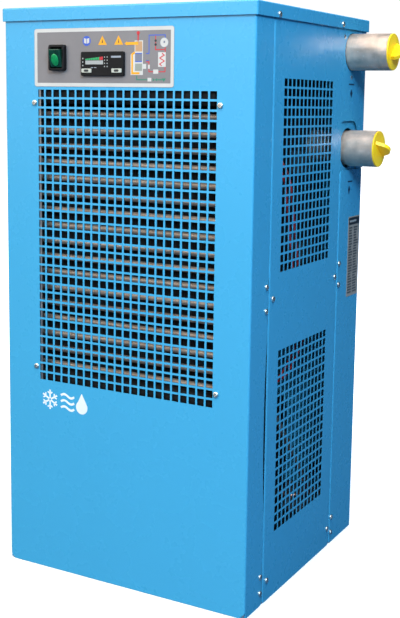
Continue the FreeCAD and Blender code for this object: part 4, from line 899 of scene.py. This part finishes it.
# ---- Inside the cabinet ----------------------------------------------------------------------------
def fin_pack():
    """Close stack of rippled fins between the condenser's end plates."""
    low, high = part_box("condenser_fins")
    pitch = 4.0 * MM
    half_thick = 0.11 * MM
    ripple = 0.7 * MM
    columns = 8
    rows = 34
    scallop = 1.2 * MM
    mesh = bmesh.new()
    count = int((high.x - low.x - 2 * ripple) / pitch)
    first = (low.x + high.x - count * pitch) / 2
    for fin in range(count + 1):
        x = first + fin * pitch
        sheets = []
        for side in (-half_thick, half_thick):
            grid = []
            for row in range(rows + 1):
                z = low.z + (high.z - low.z) * row / rows
                line = []
                for column in range(columns + 1):
                    y = low.y + (high.y - low.y) * column / columns
                    if column == 0 and row % 2:
                        y += scallop
                    wave = ripple if column % 2 else -ripple
                    line.append(mesh.verts.new((x + side + wave * 0.5, y, z)))
                grid.append(line)
            sheets.append(grid)
        for side, grid in enumerate(sheets):
            for row in range(rows):
                for column in range(columns):
                    quad = [grid[row][column], grid[row][column + 1], grid[row + 1][column + 1],
                            grid[row + 1][column]]
                    mesh.faces.new(quad if side else quad[::-1])
        left, right = sheets
        border = ([(0, c) for c in range(columns)] + [(r, columns) for r in range(rows)]
                  + [(rows, c) for c in range(columns, 0, -1)] + [(r, 0) for r in range(rows, 0, -1)])
        for (ra, ca), (rb, cb) in zip(border, border[1:] + border[:1]):
            mesh.faces.new((left[ra][ca], left[rb][cb], right[rb][cb], right[ra][ca]))
    pack = finished("fin_pack", mesh, [NODES["condenser_fins"].data.materials[0]], "cabinet")
    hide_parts("condenser_fins")


LAGGING_CORNER = 9 * MM
LEAD_SIDES = 16
HOSE_SIDES = 28


def foam_block(name, low, high, radius, sag, step, material):
    """Cut foam: round arrises and faces that lie a little hollow near their edges."""
    mesh = bmesh.new()
    bmesh.ops.create_cube(mesh, size=1)
    size = high - low
    middle = (low + high) / 2
    cuts = [max(2, int(length / step)) for length in size]
    for axis, count in enumerate(cuts):
        for n in range(1, count):
            place = Vector((0, 0, 0))
            place[axis] = n / count - 0.5
            normal = Vector((0, 0, 0))
            normal[axis] = 1
            everything = mesh.verts[:] + mesh.edges[:] + mesh.faces[:]
            bmesh.ops.bisect_plane(mesh, geom=everything, plane_co=place, plane_no=normal)
    half = size / 2
    core = Vector([max(h - radius, h * 0.2) for h in half])
    for vertex in mesh.verts:
        place = Vector([c * s for c, s in zip(vertex.co, size)])
        inner = Vector([max(-c, min(c, p)) for c, p in zip(core, place)])
        out = place - inner
        if out.length > 0:
            place = inner + out.normalized() * min(out.length, radius)
        edge = max(abs(p) / h for p, h in zip(place, half))
        swell = 1 - sag * (1 - math.cos(place.x * 21 + place.z * 17)) * edge
        vertex.co = middle + place * swell
    return finished(name, mesh, [material], "cabinet", True)


def lagging():
    """Foam halves round the heat exchanger, held by adhesive tape."""
    material = NODES["front_insulation"].data.materials[0]
    nodes = ("front_insulation", "rear_insulation")
    boxes = [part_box(node) for node in nodes]
    for node, (low, high) in zip(nodes, boxes):
        name = node.replace("insulation", "lagging")
        piece = foam_block(name, low, high, LAGGING_CORNER, 0.004, 24 * MM, material)
        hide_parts(node)
    tape = rubber("tape", (0.030, 0.031, 0.034))
    inset = Vector((0.6 * MM, 0.6 * MM, 0))
    low = boxes[0][0] + inset
    high = boxes[1][1] - inset
    for number, share in enumerate((0.12, 0.46, 0.90)):
        z = low.z + (high.z - low.z) * share
        belt(f"lagging_tape_{number + 1}", low, high, z, 38 * MM, 0.5 * MM, tape)


def belt(name, low, high, z, width, thick, material):
    """Flat band round an upright box with rounded corners."""
    radius = LAGGING_CORNER / MM
    rim = thick / MM
    x0, y0, x1, y1 = low.x / MM, low.y / MM, high.x / MM, high.y / MM
    outer = rounded_bar(x0, y0, x1, y1, radius)
    inner = rounded_bar(x0 + rim, y0 + rim, x1 - rim, y1 - rim, radius - rim)
    mesh = bmesh.new()
    loops = []
    for line, level in ((outer, z), (outer, z + width), (inner, z + width), (inner, z)):
        loops.append([mesh.verts.new((u * MM, v * MM, level)) for u, v in line])
    for first, second in zip(loops, loops[1:] + loops[:1]):
        for n in range(len(first)):
            m = (n + 1) % len(first)
            mesh.faces.new((first[n], first[m], second[m], second[n]))
    finished(name, mesh, [material], "cabinet")


def grille_seals():
    """Black foam strips over and under the condenser: sealing foam that also stands in as painted shade in
    the grille's top and bottom rows.
    """
    low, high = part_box("condenser_seals")
    material = NODES["condenser_seals"].data.materials[0]
    lower_tall, upper_tall = 21.0 * MM, 22.3 * MM
    heights = ((low.z, low.z + lower_tall), (high.z - upper_tall, high.z))
    pieces = []
    for name, (bottom, top) in zip(("lower_seal", "upper_seal"), heights):
        first = Vector((low.x, low.y, bottom))
        last = Vector((high.x, high.y, top))
        pieces.append(foam_block(name, first, last, 3 * MM, 0.002, 7 * MM, material))
    for piece in pieces:
        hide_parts("condenser_seals")


def lead_route(shift):
    """Corners of one loose lead from the electrical box to the compressor terminals, moved by shift mm."""
    corners = ((40, 40.1, 820), (40, 66, 820), (150, 66, 640), (186, 60, 372), (186, -10, 322),
               (68, -25, 245), (68, -25, 178))
    route = [Vector((x - shift, y - shift, z)) * MM for x, y, z in corners]
    route[0].y += shift * MM
    return route


def round_corners(route, reach, steps):
    """The route with each corner replaced by a curve that starts reach before it."""
    longest = 0.45
    line = [route[0]]
    for before, corner, after in zip(route, route[1:], route[2:]):
        start = corner + (before - corner).normalized() * min(reach, (before - corner).length * longest)
        end = corner + (after - corner).normalized() * min(reach, (after - corner).length * longest)
        for n in range(steps + 1):
            t = n / steps
            line.append(start * (1 - t) ** 2 + corner * 2 * t * (1 - t) + end * t ** 2)
    line.append(route[-1])
    return line


def swept_tube(mesh, line, radius, sides):
    """Round tube along a line, closed at both ends."""
    rings = []
    side = Vector((1, 0, 0))
    for n, point in enumerate(line):
        aim = (line[min(n + 1, len(line) - 1)] - line[max(n - 1, 0)]).normalized()
        side = (side - aim * side.dot(aim)).normalized()
        across = aim.cross(side)
        ring = []
        for k in range(sides):
            a = 2 * math.pi * k / sides
            ring.append(mesh.verts.new(point + (side * math.cos(a) + across * math.sin(a)) * radius))
        rings.append(ring)
    for first, second in zip(rings, rings[1:]):
        for k in range(sides):
            j = (k + 1) % sides
            mesh.faces.new((first[k], first[j], second[j], second[k]))
    mesh.faces.new(rings[0][::-1])
    mesh.faces.new(rings[-1])


def leads():
    """Insulated leads with a push-on sleeve at each end."""
    material = NODES["wiring"].data.materials[0]
    for number, shift in enumerate((0, 7)):
        line = round_corners(lead_route(shift), 22 * MM, 8)
        mesh = bmesh.new()
        swept_tube(mesh, line, 1.9 * MM, LEAD_SIDES)
        for end, inward in ((line[0], line[1]), (line[-1], line[-2])):
            aim = (inward - end).normalized()
            swept_tube(mesh, [end, end + aim * 14 * MM], 2.2 * MM, LEAD_SIDES)
        piece = finished(f"lead_{number + 1}", mesh, [material], "cabinet", True)
        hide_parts("wiring")


def drain_tube():
    """Plastic drain tube with a push-in collar at each end."""
    low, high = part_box("drain_hose")
    radius = (high.x - low.x) / 2
    top = Vector(((low.x + high.x) / 2, low.y + radius, high.z))
    corner = Vector((top.x, top.y, low.z + radius))
    line = round_corners([top, corner, Vector((top.x, high.y, corner.z))], 24 * MM, 12)
    mesh = bmesh.new()
    swept_tube(mesh, line, radius, HOSE_SIDES)
    for end, inward in ((line[0], line[1]), (line[-1], line[-2])):
        aim = (inward - end).normalized()
        swept_tube(mesh, [end, end + aim * 6 * MM, end + aim * 8 * MM], radius + 1.6 * MM, HOSE_SIDES)
    material = NODES["drain_hose"].data.materials[0]
    piece = finished("drain_tube", mesh, [material], "cabinet", True)
    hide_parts("drain_hose")


# ---- Everything ------------------------------------------------------------------------------------
CAD_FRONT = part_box("front_panel")[0].y
CAD_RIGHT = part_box("right_panel")[1].x
SHEET_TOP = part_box("right_panel")[1].z

make_camera()
make_world()
make_lights()
make_floor()
dress_nodes(make_looks())
mix_inks()
control_artwork()
controller_artwork()
key_marks()
front_mark()
flow_marks()
data_artwork()
rocker_window()
fin_pack()
lagging()
grille_seals()
leads()
drain_tube()
